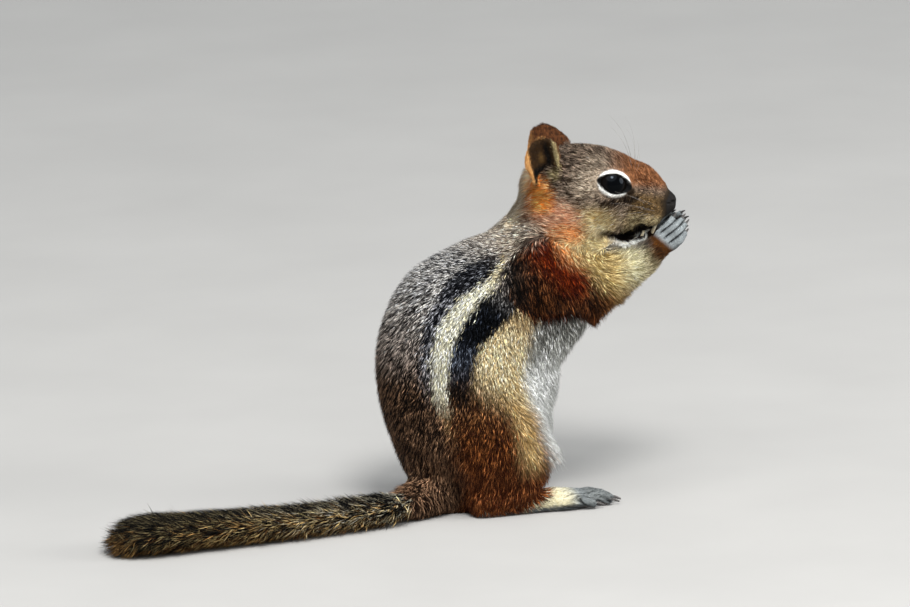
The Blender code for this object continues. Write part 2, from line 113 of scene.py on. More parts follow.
def level_with(rows: Rows, normals: Rows) -> Rows:
    """Rows without their part along the normals."""
    return rows - (rows * normals).sum(1, keepdims=True) * normals


def mirrored(head: Rows) -> Rows:
    """Places of the head's frame, with the right side's brought over to the left."""
    return head * (1, 0, 1) + np.abs(head) * (0, 1, 0)


def crosses(points: Rows, faces: Rows) -> Rows:
    """Direction of each triangle, as long as twice its area."""
    corners = points[faces]
    return np.cross(corners[:, 1] - corners[:, 0], corners[:, 2] - corners[:, 0])


def cells(points: Rows, size: float) -> Rows:
    """A number for the small cube of space that each point lies in."""
    x, y, z = np.floor(points / size).astype(np.int64).T
    return (x * CELL_PRIMES[0]) ^ (y * CELL_PRIMES[1]) ^ (z * CELL_PRIMES[2])


def link(name: str, data: bpy.types.ID) -> Object:
    """Puts a mesh, a lamp or a camera in the scene.

    Args:
        name: Name of the new object.
        data: What it holds; a mesh is already in place, in metres.

    Returns:
        The new object, at the origin.
    """
    made = bpy.data.objects.new(name, data)
    bpy.context.scene.collection.objects.link(made)
    return made


def from_bmesh(name: str, bm: bmesh.types.BMesh) -> Object:
    """Turns a bmesh in millimetres into a smooth object in metres, and frees it.

    Args:
        name: Name of the object.
        bm: The shape.

    Returns:
        The new object.
    """
    bm.transform(Matrix.Scale(MM, 4))
    for face in bm.faces:
        face.smooth = True
    mesh = bpy.data.meshes.new(name)
    bm.to_mesh(mesh)
    bm.free()
    return link(name, mesh)


def coordinates(mesh: Mesh) -> Rows:
    """Vertex places of a mesh in millimetres.

    Args:
        mesh: A mesh in metres.

    Returns:
        One row for each vertex.
    """
    flat = np.empty(len(mesh.vertices) * 3, np.float32)
    mesh.vertices.foreach_get("co", flat)
    return flat.reshape(-1, 3).astype(float) / MM


def triangles(mesh: Mesh) -> Rows:
    """Vertex numbers of a mesh's triangles.

    Args:
        mesh: The mesh.

    Returns:
        One row for each triangle.
    """
    mesh.calc_loop_triangles()
    flat = np.empty(len(mesh.loop_triangles) * 3, np.int32)
    mesh.loop_triangles.foreach_get("vertices", flat)
    return flat.reshape(-1, 3)


def report(piece: Object) -> None:
    """Logs a finished piece."""
    LOG.info("%s: %d triangles", piece.name, len(triangles(piece.data)))


def settle(obj: Object) -> None:
    """Applies an object's modifiers to its mesh.

    Args:
        obj: The object, which also loses its vertex groups.
    """
    made = bpy.data.meshes.new_from_object(obj.evaluated_get(bpy.context.evaluated_depsgraph_get()))
    obj.modifiers.clear()
    obj.vertex_groups.clear()
    obj.data = made


def curve_through(rows: Rows, count: int) -> Rows:
    """Points on a smooth curve through the given rows.

    Args:
        rows: Places that the curve passes through.
        count: Number of points wanted.

    Returns:
        The points, as rows.
    """
    rows = np.asarray(rows, float)
    ends = np.vstack([2 * rows[0] - rows[1], rows, 2 * rows[-1] - rows[-2]])
    at = np.linspace(0, len(rows) - 1, count)
    low = np.minimum(at.astype(int), len(rows) - 2)
    u = (at - low)[:, None]
    p0, p1, p2, p3 = (ends[low + k] for k in range(4))
    return 0.5 * (2 * p1 + (p2 - p0) * u + (2 * p0 - 5 * p1 + 4 * p2 - p3) * u ** 2
                  + (3 * p1 - p0 - 3 * p2 + p3) * u ** 3)


def ripples(points: Rows, length: float, seed: int) -> Rows:
    """A smooth field of small irregularities through space.

    Args:
        points: Places, as rows.
        length: Distance between crests.
        seed: Number that sets its pattern.

    Returns:
        Height of the field at each place, about -1 to 1.
    """
    rng = np.random.default_rng(seed)
    waves = unit(rng.normal(size=(9, 3))) * (2 * math.pi / length)
    waves *= rng.uniform(0.6, 1.5, (9, 1))
    return np.sin(points @ waves.T + rng.uniform(0, 6.28, 9)).sum(1) / 3.2


def vertex_normals(points: Rows, faces: Rows) -> Rows:
    """Direction of a surface at each vertex.

    Args:
        points: The surface's vertices.
        faces: Its triangles.

    Returns:
        One row for each vertex.
    """
    face = crosses(points, faces)
    return unit(np.stack([sum(np.bincount(faces[:, k], face[:, axis], len(points))
                              for k in range(3)) for axis in range(3)], axis=1))


def turn_of(across: Rows, up: Rows) -> Rows:
    """Angle round an axis, from 0 to 1, with 0.5 at the top."""
    return np.arctan2(across, up) / (2 * math.pi) + 0.5


# --- the animal's frame


class Body:
    """Named places of the animal, all measured from the fixed solids."""

    NOD = math.radians(13.8)
    EYE_PLACE = np.array((14.2, 7.1, 6.8))
    EYE_LOOK = unit(np.array((0.22, 0.955, 0.19)))
    EYE_RADIUS = 5.46
    EYE_OPENING = (5.35, 3.05)
    EYE_SLANT = math.radians(1)
    EAR_ROOT = np.array((-4.8, 10.4, 4.8))
    EAR_LEAN = unit(np.array((-0.40, 0.22, 0.89)))
    EAR_FACE = np.array((0.12, 0.98, 0.05))
    EAR_SIZE = (5.2, 15.8)
    # Forward and up from the trunk's low rear corner.
    SPINE = ((27.6, -1), (31.1, 8), (30.0, 20), (28.2, 33), (27.2, 42), (28.2, 50), (32.8, 58.3),
             (41.4, 67.4), (48.6, 75), (54.2, 84), (58.1, 92))

    def __init__(self) -> None:
        """Reads the boxes of the solids."""
        eyes = {side: self.centre("eye", side) for side in SIDES}
        left = unit(eyes[LEFT] - eyes[RIGHT])
        level = np.cross(left, (0, 0, 1))
        up = np.array((0, 0, 1.0))
        forward = level * math.cos(self.NOD) - up * math.sin(self.NOD)
        over = level * math.sin(self.NOD) + up * math.cos(self.NOD)
        self.head_axes = np.array([forward, left, over])
        middle = (eyes[LEFT] + eyes[RIGHT]) / 2
        self.head_origin = middle - forward * self.EYE_PLACE[0] - over * self.EYE_PLACE[2]
        low, _ = self.box("trunk")
        rows = [(low[0] + x, 0, low[2] + z) for x, z in self.SPINE]
        self.spine = curve_through(rows, 120)
        steps = np.linalg.norm(np.diff(self.spine, axis=0), axis=1)
        self.spine_reach = np.concatenate([[0], np.cumsum(steps)])
        self.spine_along = unit(np.gradient(self.spine, axis=0))
        root = [self.inside("tail_root", f) for f in ((1.30, 1.0, 0.4), (1.02, 0.78, 0.4),
                                                      (0.89, 0.62, 0.4), (0.43, 0.45, 0.45))]
        rest = [self.inside("tail_middle", (0.5, 0.48, 0.47)),
                self.inside("tail_end", (0.8, 0.50, 0.48)), self.inside("tail_end", (0.0, 0.55, 0.4))]
        self.tail = curve_through(np.array(root + rest), 80)
        self.ear_front = unit(np.cross(self.EAR_FACE, self.EAR_LEAN))
        self.ear_face = unit(self.EAR_FACE - self.EAR_FACE @ self.EAR_LEAN * self.EAR_LEAN)
        slant = np.array((math.cos(self.EYE_SLANT), 0, -math.sin(self.EYE_SLANT)))
        self.eye_along = unit(slant - slant @ self.EYE_LOOK * self.EYE_LOOK)
        self.eye_over = np.cross(self.EYE_LOOK, self.eye_along)
        self.eye_over *= np.sign(self.eye_over[2])
        self.ear_front *= np.sign(self.ear_front[0])

    @staticmethod
    def box(node: str, side: int = 0) -> tuple[Rows, Rows]:
        """Low and high corner of a solid in millimetres.

        Args:
            node: Its name, without the side where that is given.
            side: RIGHT, LEFT or 0.

        Returns:
            The two corners.
        """
        node = f"{node}_{SIDE_NAMES[side]}" if side else node
        low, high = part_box(node)
        return np.array(low) / MM, np.array(high) / MM

    def centre(self, node: str, side: int = 0) -> Rows:
        """Middle of a solid's box."""
        low, high = self.box(node, side)
        return (low + high) / 2

    def shares(self, points: Rows, stem: str, side: int) -> Rows:
        """Places as shares of a limb's box, from its low corner."""
        low, high = self.box(stem, side)
        return (points - low) / (high - low)

    def inside(self, node: str, shares: Triple) -> Rows:
        """A place in a solid's box, given as shares of its sides from the low corner."""
        low, high = self.box(node)
        return low + (high - low) * np.array(shares)

    def limb(self, stem: str, side: int, shares: Triple) -> Rows:
        """A place in a limb's box: shares forwards, inwards from its outer side, and up.

        Args:
            stem: Name of the limb without its side.
            side: RIGHT or LEFT.
            shares: The three shares.

        Returns:
            The place in millimetres.
        """
        forward, inward, up = shares
        across = inward if side == RIGHT else 1 - inward
        return self.inside(f"{stem}_{SIDE_NAMES[side]}", (forward, across, up))

    def on_side(self, points: Rows, stem: str, side: int) -> Rows:
        """Which places belong to the limb of a side."""
        middle = (self.box(stem, RIGHT)[1][1] + self.box(stem, LEFT)[0][1]) / 2
        return (points[:, 1] - middle) * side > 0

    def digit_gaps(self, points: Rows, stem: str, limb: str, reach: float) -> Rows:
        """How deep in the gap between two fingers or toes each place lies.

        Args:
            points: Places, as rows.
            stem: "finger" or "toe".
            limb: Name of the solid that carries them, without its side.
            reach: Length of the gaps behind the claws.

        Returns:
            1 in the middle of a gap and 0 on the digits.
        """
        found = np.zeros(len(points))
        count = 4 if stem == "finger" else 5
        for side in SIDES:
            claws = f"{stem}_claw_{SIDE_NAMES[side]}"
            tips = np.array([self.centre(f"{claws}_{k + 1}") for k in range(count)])
            across = unit(tips[-1] - tips[0])
            way = unit(tips.mean(0) - self.centre(limb, side))
            way = unit(way - way @ across * across)
            places = tips @ across
            gaps = (places[1:] + places[:-1]) / 2
            away = np.abs((points @ across)[:, None] - gaps).min(1)
            behind = (tips @ way).min() - points @ way
            gap = band(away, 0, 0.20, 0.60) * smooth(reach, reach * 0.75, behind)
            found += gap * self.on_side(points, limb, side)
        return found

    def finger_gaps(self, points: Rows) -> Rows:
        """How deep between two fingers each place lies."""
        return self.digit_gaps(points, "finger", "hand", 8.0)

    def toe_gaps(self, points: Rows) -> Rows:
        """How deep between two toes each place lies."""
        return self.digit_gaps(points, "toe", "foot", 12.0)

    def to_head(self, points: Rows) -> Rows:
        """Places in the head's own frame: forward, left and up."""
        return (points - self.head_origin) @ self.head_axes.T

    def from_head(self, points: Rows) -> Rows:
        """Places of the head's frame in the shared frame."""
        return np.asarray(points, float) @ self.head_axes + self.head_origin

    def along_spine(self, points: Rows) -> tuple[Rows, Rows, Rows]:
        """Where places lie round the trunk.

        Args:
            points: Places, as rows.

        Returns:
            Height along the spine, the angle in degrees from the midline of the back (0) to
            that of the belly (180), and the spine's direction there.
        """
        gap = points[:, None, ::2] - self.spine[None, :, ::2]
        near = np.argmin((gap ** 2).sum(2), axis=1)
        along = self.spine_along[near]
        offset = points - self.spine[near]
        reach = self.spine_reach[near] + (offset * along).sum(1)
        front = offset[:, 0] * along[:, 2] - offset[:, 2] * along[:, 0]
        return reach, np.degrees(np.arctan2(np.abs(points[:, 1]), -front)), along

    def along_tail(self, points: Rows) -> tuple[Rows, Rows, Rows]:
        """Where places lie along the tail.

        Args:
            points: Places, as rows.

        Returns:
            Share of the way to the tip, offset from the tail's middle, and its direction.
        """
        gap = points[:, None, :2] - self.tail[None, :, :2]
        near = np.argmin((gap ** 2).sum(2), axis=1)
        along = unit(np.gradient(self.tail, axis=0))[near]
        return near / (len(self.tail) - 1), points - self.tail[near], along

    def round_eye(self, head: Rows) -> tuple[Rows, Rows]:
        """Places from the middle of the eye of their own side: distance forwards and upwards."""
        offset = mirrored(head) - self.EYE_PLACE
        return offset @ self.eye_along, offset @ self.eye_over

    def lid_share(self, head: Rows) -> Rows:
        """How far out from the eye a place is: 1 at the edge of the lids.

        Args:
            head: Places in the head's frame.

        Returns:
            The share for each place.
        """
        along, over = self.round_eye(head)
        half_length, half_height = self.EYE_OPENING
        power = 1.6
        found = (np.abs(along / half_length) ** power + np.abs(over / half_height) ** power) ** (1 / power)
        behind = np.abs(head[:, 1]) < 5.5
        return np.where(behind, 9.0, found)

    def round_ear(self, head: Rows) -> tuple[Rows, Rows]:
        """Places in the ear of their own side: share forwards (-1 to 1) and share up."""
        offset = mirrored(head) - self.EAR_ROOT
        return offset @ self.ear_front / self.EAR_SIZE[0], offset @ self.EAR_LEAN / self.EAR_SIZE[1]


class Family(IntEnum):
    """The solids that share one kind of coat."""

    TRUNK = 0
    NECK = 1
    HEAD = 2
    EAR = 3
    UPPER_ARM = 4
    FOREARM = 5
    HAND = 6
    THIGH = 7
    FOOT = 8
    TAIL = 9


def family_of(node: str) -> Family:
    """The family of a solid, from its name."""
    stem = node.replace("_right", "").replace("_left", "")
    return Family.TAIL if stem.startswith("tail") else Family[stem.upper()]


# --- markings


class Hue(Enum):
    """Named hues of the coat: colour of most hairs, colour of the flecked ones, and their share."""

    RUMP = (40, 25, 16), (166, 128, 98), 0.42
    LOW_BACK = (22, 14, 9), (152, 116, 88), 0.36
    MID_BACK = (44, 41, 40), (246, 240, 232), 0.54
    SHOULDER = (42, 43, 46), (220, 216, 210), 0.39
    NAPE = (112, 98, 86), (244, 226, 202), 0.52
    INNER_DARK = (23, 24, 30), (184, 184, 190), 0.40
    INNER_DEEP = (14, 15, 20), (124, 126, 132), 0.27
    CREAM = (255, 246, 210), (255, 253, 234), 0.50
    DULL_CREAM = (104, 76, 44), (176, 142, 98), 0.40
    BLACK = (4, 6, 9), (52, 58, 70), 0.12
    BLACK_TOP = (44, 42, 42), (148, 144, 138), 0.38
    BLACK_LOW = (28, 32, 41), (118, 126, 140), 0.33
    BLACK_END = (20, 13, 9), (78, 58, 44), 0.26
    FLANK = (222, 198, 150), (252, 238, 200), 0.48
    FLANK_HIGH = (150, 124, 84), (220, 196, 150), 0.45
    FLANK_LOW = (178, 152, 102), (236, 214, 166), 0.45
    BREAST = (100, 100, 94), (222, 222, 214), 0.42
    BELLY = (234, 236, 230), (253, 254, 250), 0.50
    HAUNCH_HIGH = (50, 27, 12), (160, 112, 70), 0.38
    HAUNCH = (54, 23, 7), (164, 98, 50), 0.34
    HAUNCH_LOW = (70, 31, 11), (166, 100, 56), 0.35
    HAUNCH_FRONT = (196, 160, 102), (232, 204, 150), 0.42
    ARM_DARK = (28, 12, 5), (144, 88, 50), 0.32
    ARM_RED = (70, 16, 1), (142, 54, 14), 0.36
    ARM_ORANGE = (255, 160, 90), (255, 212, 156), 0.48
    CHEEK_ORANGE = (210, 128, 68), (236, 178, 120), 0.42
    RUST = (196, 116, 66), (246, 188, 138), 0.44
    ELBOW = (42, 8, 0), (104, 38, 4), 0.36
    BUFF = (150, 124, 72), (220, 196, 138), 0.45
    PALE_BUFF = (166, 158, 118), (226, 220, 186), 0.45
    # painted shade: darker buff on the forearm's front part, for the shade along its lower outline
    ARM_EDGE = (110, 98, 68), (186, 174, 140), 0.42
    WRIST = (42, 22, 3), (86, 48, 9), 0.36
    ARM_BLACK = (15, 11, 9), (84, 66, 54), 0.26
    ARM_BROWN = (78, 46, 16), (146, 104, 60), 0.38
    PAW = (72, 77, 80), (172, 178, 178), 0.44
    FOOT_GREY = (46, 50, 52), (156, 160, 158), 0.42
    # painted shade: dark in the gaps between fingers and between toes
    PAW_GAP = (20, 20, 22), (52, 54, 56), 0.30
    PAW_SHADE = (64, 67, 68), (108, 112, 112), 0.35
    ANKLE = (226, 214, 172), (248, 240, 208), 0.45
    CROWN = (36, 26, 19), (182, 158, 136), 0.39
    BRIDGE = (80, 43, 20), (176, 120, 80), 0.42
    TEMPLE = (100, 82, 64), (216, 198, 174), 0.46
    CHEEK = (72, 56, 42), (200, 178, 154), 0.44
    PINK_CHEEK = (182, 118, 84), (244, 192, 156), 0.45
    BUFF_CHEEK = (184, 152, 94), (244, 224, 172), 0.45
    MUZZLE = (24, 16, 8), (168, 134, 88), 0.38
    MUZZLE_TIP = (30, 24, 18), (80, 66, 50), 0.36
    MUZZLE_LOW = (64, 46, 24), (230, 208, 160), 0.50
    EYE_LINE = (22, 14, 9), (84, 66, 46), 0.25
    RING = (240, 238, 230), (252, 251, 246), 0.50
    LIP = (196, 197, 190), (238, 238, 232), 0.50
    # painted shadow: grey for the shadow under the lower lip and jaw, laid on the chin and on the forearm's
    # top edge
    JAW_EDGE = (66, 64, 60), (138, 132, 122), 0.35
    THROAT = (190, 166, 112), (242, 224, 174), 0.45
    BELOW_EAR = (244, 130, 44), (254, 188, 104), 0.43
    BEHIND_EAR = (244, 214, 172), (254, 242, 214), 0.45
    EAR_BACK = (46, 25, 12), (112, 68, 38), 0.36
    EAR_CUP = (36, 24, 12), (74, 52, 30), 0.32
    # painted highlight: a lighter olive brown in the middle of the ear's cup
    EAR_HOLLOW = (76, 55, 28), (120, 92, 54), 0.35
    # painted shade: near black for the shaded opening inside the ear and the notch under it
    EAR_SLIT = (9, 8, 7), (24, 20, 16), 0.20
    EAR_CREAM = (112, 96, 66), (200, 184, 136), 0.42
    EAR_RIM = (172, 118, 64), (214, 166, 108), 0.42
    TAIL_TOP = (13, 13, 13), (166, 162, 148), 0.25
    TAIL_DARK = (9, 8, 7), (104, 94, 68), 0.20
    TAIL_FRINGE = (24, 18, 10), (202, 176, 118), 0.40
    TAIL_UNDER = (84, 56, 28), (182, 140, 84), 0.42

    @property
    def row(self) -> Rows:
        """The hue as seven linear numbers."""
        base, fleck, share = self.value
        return np.concatenate([linear(base), linear(fleck), [share]])


def blot(points: Rows, centre: tuple[float, ...], radii: tuple[float, ...], soft: float = 0.6) -> Rows:
    """A soft-edged rounded patch: 1 in it and 0 outside it."""
    reach = np.linalg.norm((points - np.array(centre)) / np.array(radii), axis=1)
    return 1 - smooth(1 - soft, 1 + soft * 0.5, reach)


def streak(points: Rows, start: tuple[float, ...], end: tuple[float, ...], radius: float,
           soft: float = 0.6) -> Rows:
    """A soft-edged line from start to end.

    Args:
        points: Places, already mirrored to one side.
        start: One end of the line.
        end: Its other end.
        radius: Half of its width.
        soft: Share of it that its soft edge takes.

    Returns:
        1 on the line and 0 away from it.
    """
    a, b = np.array(start), np.array(end)
    t = np.clip((points - a) @ (b - a) / ((b - a) @ (b - a)), 0, 1)
    reach = np.linalg.norm(points - a - t[:, None] * (b - a), axis=1) / radius
    return 1 - smooth(1 - soft, 1 + soft * 0.5, reach)


def graded(value: Rows, *stops: tuple[float, Hue]) -> Rows:
    """Rows of hues that change along a value.

    Args:
        value: The value at each place.
        *stops: Values and the hue that each has, in rising order.

    Returns:
        One hue for each place.
    """
    places = [place for place, _ in stops]
    rows = np.array([hue.row for _, hue in stops])
    return np.stack([np.interp(value, places, rows[:, k]) for k in range(7)], axis=1)


class Dye:
    """Hues of many places, laid one over another."""

    def __init__(self, places: Rows, start: Hue | Rows) -> None:
        """Starts with one hue, or with a hue for each place."""
        self.places = places
        self.hues = np.tile(start.row, (len(places), 1)) if isinstance(start, Hue) else start

    def lay(self, hue: Hue | Rows, mask: Rows) -> None:
        """Lays a hue, or rows of hues, over the others where the mask says."""
        row = hue.row if isinstance(hue, Hue) else hue
        self.hues += mask[:, None] * (row - self.hues)

    def blot(self, hue: Hue, *form: tuple | float, share: float = 1.0) -> None:
        """Lays a share of a hue in a rounded patch."""
        self.lay(hue, share * blot(self.places, *form))

    def streak(self, hue: Hue, *form: tuple | float, share: float = 1.0) -> None:
        """Lays a share of a hue along a line."""
        self.lay(hue, share * streak(self.places, *form))


class Markings:
    """The markings that skin and coat share, worked out from places on the body."""

    # Bare colours: nose, lid and pad are the skin's own; mouth is painted shade for the inside of the open
    # mouth, and the lids' black is also painted shade in the notch under each ear.
    BARE = {"nose": (25, 23, 22), "lid": (3, 3, 3), "mouth": (14, 8, 8), "pad": (120, 104, 98)}

    def __init__(self, body: Body) -> None:
        """Keeps the body's landmarks."""
        self.body = body

    def trunk(self, points: Rows) -> Rows:
        """Hues of trunk, neck and haunches: back, stripes, flank and belly.

        Args:
            points: Places, as rows.

        Returns:
            One hue for each place.
        """
        s, angle, _ = self.body.along_spine(points)
        dye = Dye(points, graded(s, (16, Hue.RUMP), (43, Hue.LOW_BACK), (58, Hue.MID_BACK),
                                 (70, Hue.SHOULDER), (89, Hue.NAPE)))
        upper = smooth(38, 50, s)
        height = points[:, 2] - np.interp(angle, (58, 66, 79, 91, 104, 116), (50, 48, 41, 37, 34, 29))
        flank = graded(s, (36, Hue.FLANK_LOW), (50, Hue.FLANK), (58, Hue.FLANK), (68, Hue.FLANK_HIGH))
        dye.lay(flank, smooth(74, 84, angle) * smooth(-11, 6, height))
        haunch = graded(points[:, 2], (10, Hue.HAUNCH_LOW), (24, Hue.HAUNCH), (36, Hue.HAUNCH_HIGH))
        dye.lay(haunch, smooth(48, 70, angle) * smooth(9, -9, height))
        middle = np.interp(s, (28, 37, 43, 50, 56, 62, 70, 76, 84),
                           (60, 54.5, 53.5, 52.5, 52.5, 54.5, 59, 55, 44))
        half = np.interp(s, (24, 31, 37, 43, 50, 56, 62, 68, 72, 76, 84),
                         (0.5, 1.8, 3.8, 5.4, 6.6, 7.2, 6.8, 5.6, 4.6, 3.4, 1.2))
        inner_half = np.interp(s, (50, 60, 64, 68, 78), (4.5, 7, 10.5, 11, 8))
        inner = band(angle, middle - half - inner_half, inner_half, 4)
        deep = graded(s, (58, Hue.INNER_DARK), (65, Hue.INNER_DEEP))
        dye.lay(deep, inner * upper * (1 - smooth(72, 82, s)))
        dye.lay(Hue.INNER_DARK, 0.6 * band(angle, 17, 2.5, 5) * band(s, 63, 7, 5))
        black_middle = np.interp(s, (36, 43, 48, 54, 62, 70, 76), (69, 69, 68, 69, 73.5, 77, 76))
        black_half = np.interp(s, (36, 43, 50, 56, 62, 70, 76), (6, 8, 10, 13, 15.5, 15, 10))
        dark = graded(s, (43, Hue.BLACK_END), (50, Hue.BLACK_LOW), (56, Hue.BLACK), (64, Hue.BLACK),
                      (70, Hue.BLACK_TOP))
        shown = smooth(30, 43, s) * (1 - smooth(74, 85, s))
        dye.lay(dark, band(angle, black_middle, black_half, 4) * shown)
        pale = graded(s, (35, Hue.DULL_CREAM), (44, Hue.CREAM), (66, Hue.CREAM), (80, Hue.FLANK))
        dye.lay(pale, band(angle, middle, half, 2.6) * smooth(24, 36, s) * (1 - smooth(78, 86, s)))
        front = band(angle, 109, 7, 13) * smooth(10, 20, points[:, 2]) * smooth(6, -4, height)
        dye.lay(Hue.HAUNCH_FRONT, front)
        under = graded(points[:, 2], (42, Hue.BELLY), (51, Hue.BREAST))
        edge = np.interp(points[:, 2], (8, 14, 22, 34, 46, 54, 62), (140, 124, 120, 124, 126, 119, 113))
        dye.lay(under, smooth(-8, 8, angle - edge))
        return dye.hues

    def mantle(self, points: Rows, family: Rows) -> tuple[Rows, Rows]:
        """Hues of shoulders and arms, which run on over the sides of the neck.

        Args:
            points: Places, as rows.
            family: The family of each place.

        Returns:
            The hues, and how far places of trunk, neck and head lie in the mantle.
        """
        dye = Dye(points, Hue.ARM_DARK)
        reach = np.zeros(len(points))
        lower = family == Family.FOREARM
        for side in SIDES:
            mine = np.where(lower, self.body.on_side(points, "forearm", side),
                            self.body.on_side(points, "upper_arm", side))
            share = self.body.shares(points[mine], "upper_arm", side)[:, ::2]
            part = Dye(share, dye.hues[mine])
            part.streak(Hue.ARM_RED, (0.40, 0.82), (0.60, 0.58), 0.18, 0.8)
            part.blot(Hue.ARM_ORANGE, (0.66, 0.91), (0.18, 0.21), 0.8)
            part.blot(Hue.ELBOW, (0.66, 0.08), (0.60, 0.20), share=0.9)
            part.blot(Hue.ARM_BLACK, (0.06, 0.62), (0.19, 0.44), 0.8)
            part.blot(Hue.NAPE, (0.18, 1.02), (0.20, 0.16), 0.8, share=0.6)
            brown = smooth(0.72, 1.0, share[:, 0]) * smooth(0.52, 0.38, share[:, 1])
            part.lay(Hue.ARM_BROWN, 0.8 * brown)
            buff = smooth(-0.13, 0.07, 0.8 * (share[:, 0] - 0.80) + 0.45 * (share[:, 1] - 0.62))
            part.lay(Hue.BUFF, buff * smooth(0.36, 0.52, share[:, 1]))
            part.blot(Hue.BUFF_CHEEK, (0.80, 0.92), (0.17, 0.16), 0.7)
            reach[mine] = blot(share, (0.44, 0.70), (0.56, 0.42), 0.45)
            here = lower[mine]
            f = self.body.shares(points[mine], "forearm", side)[here]
            turn = smooth(0.16, 0.34, f[:, :1])
            inner = Dye(f[:, ::2], part.hues[here] * (1 - turn) + Hue.BUFF.row * turn)
            inner.lay(Hue.PALE_BUFF, smooth(0.30, 0.60, f[:, 0]))
            # brown along the forearm's lower edge: partly its own brown, partly painted shade under the arm
            edge = f[:, 2] - (0.24 + 0.42 * f[:, 0])
            inner.lay(Hue.ARM_BROWN, 0.8 * (1 - smooth(-0.14, 0.10, edge)))
            # painted shade on the forearm's front part
            inner.lay(Hue.ARM_EDGE, 0.8 * smooth(0.55, 0.75, f[:, 0]))
            # painted shadow where the jaw meets the forearm's top edge
            inner.streak(Hue.JAW_EDGE, (0.12, 0.95), (0.76, 0.98), 0.10)
            inner.blot(Hue.WRIST, (0.90, 0.88), (0.18, 0.24), 0.6)
            part.hues[here] = inner.hues
            dye.hues[mine] = part.hues
        return dye.hues, reach

    @staticmethod
    def ear_notch(head: Rows) -> Rows:
        """How far places of the head lie in the dark notch under the ear's opening."""
        # the notch is sunk in the skin and painted black as its shade
        return streak(mirrored(head), (-7.0, 9.4, 5.4), (-3.7, 11.0, 2.8), 1.25, 0.4)

    @staticmethod
    def lip_line(x: Rows) -> Rows:
        """Height of the lower lip's edge in the head's frame."""
        return np.interp(x, (15.5, 20, 23.5, 25.5, 29, 33), (-10.8, -11.0, -10.6, -9.2, -6.9, -6.6))

    def gape(self, head: Rows) -> Rows:
        """How far places lie in the dark of the open mouth.

        Args:
            head: Places in the head's frame.

        Returns:
            1 in the gape and 0 outside it.
        """
        # the gape is painted dark as the shade inside the open mouth, and the skin sinks it
        x, z = head[:, 0], head[:, 2]
        top = np.interp(x, (15.5, 20, 25, 29, 33), (-9.9, -8.9, -7.0, -4.9, -4.8))
        low = self.lip_line(x)
        return smooth(-0.3, 0.3, z - low) * smooth(0.3, -0.3, z - top) * smooth(15.5, 17.5, x)

    def head(self, points: Rows) -> Rows:
        """Hues of the head.

        Args:
            points: Places, as rows.

        Returns:
            One hue for each place.
        """
        head = self.body.to_head(points)
        p = mirrored(head)
        x, z = p[:, 0], p[:, 2]
        dye = Dye(p, Hue.CROWN)
        dye.lay(Hue.BRIDGE, smooth(10, 20, x + 0.3 * (z - 12)) * smooth(6, 9.5, z))
        dye.blot(Hue.TEMPLE, (6.5, 11.5, 6.0), (5.5, 5, 6))
        dye.blot(Hue.TEMPLE, (8.0, 9.0, 13.0), (4.5, 4.5, 4), share=0.7)
        dye.lay(Hue.CHEEK, smooth(3.0, -1.0, z))
        dye.blot(Hue.BUFF_CHEEK, (12, 12, -6.2), (9, 6, 6))
        dye.streak(Hue.PINK_CHEEK, (-9, 9, -4.5), (3.5, 14.5, -6.5), 5.2, 0.7)
        # painted light: a paler patch lifts the shade in the fold under the cheek
        dye.blot(Hue.FLANK, (13.6, 11.5, -8.0), (5, 5, 3))
        dye.lay(Hue.MUZZLE, smooth(19, 23, x) * smooth(7.2, 3.8, z))
        dye.lay(Hue.MUZZLE_LOW, smooth(19, 23, x) * smooth(0.5, -2.5, z))
        dye.lay(Hue.MUZZLE_TIP, smooth(29.4, 32.0, x - 0.3 * np.abs(z - 4)))
        dye.lay(Hue.THROAT, smooth(-8.5, -12, z + 0.10 * (x - 10)) * smooth(-3, 4, x))
        dye.lay(Hue.NAPE, smooth(-9, -13, z) * smooth(-2, -7, x))
        dye.blot(Hue.CHEEK_ORANGE, (4.6, 14.5, -10.2), (4.8, 8, 3.8), 0.8)
        dye.streak(Hue.BELOW_EAR, (-12, 5, 2.5), (-6, 10, -2.5), 5.0)
        dye.streak(Hue.BEHIND_EAR, (-12.0, 3.5, 9.5), (-14.5, 3.5, -3.5), 3.8)
        dye.streak(Hue.BEHIND_EAR, (-14.5, 3.5, -3.5), (-14.0, 5.5, -11.0), 4.2)
        dye.blot(Hue.RUST, (0.4, 14.2, -11.0), (3.6, 6, 2.6), share=0.8)
        under_lip = z - self.lip_line(x)
        mouth = smooth(16.6, 19.8, x)
        # painted shadow in a grey band under the lower lip
        dye.lay(Hue.JAW_EDGE, mouth * band(under_lip, -3.1, 0.9, 0.8))
        dye.lay(Hue.LIP, mouth * band(under_lip, -1.1, 1.0, 0.6))
        # painted shade in the crease at the mouth's corner, in the eye line's hue
        dye.lay(Hue.EYE_LINE, 0.9 * smooth(13.5, 15.5, x) * band(z - 0.35 * (x - 16), -9.3, 0.1, 1.0)
                * smooth(19, 17, x))
        dye.streak(Hue.EYE_LINE, (12.5, 12.6, 0.5), (22.8, 8.1, 4.0), 1.3)
        dye.blot(Hue.EAR_CREAM, (-4.0, 9.4, 6.2), (2.2, 2.6, 2.6), 0.5)
        # painted shade in the notch under the ear's opening
        dye.lay(Hue.EAR_SLIT, self.ear_notch(head))
        along, over = self.body.round_eye(head)
        ring = 1 - smooth(0.92, 1.04, np.hypot((along + 0.15) / 5.45, over / 4.35))
        ring *= smooth(4.2, 6.0, p[:, 1])
        dye.lay(Hue.RING, ring)
        dye.blot(Hue.EYE_LINE, (20.4, 9.6, 5.9), (2.0, 3, 1.5), 0.4)
        return dye.hues

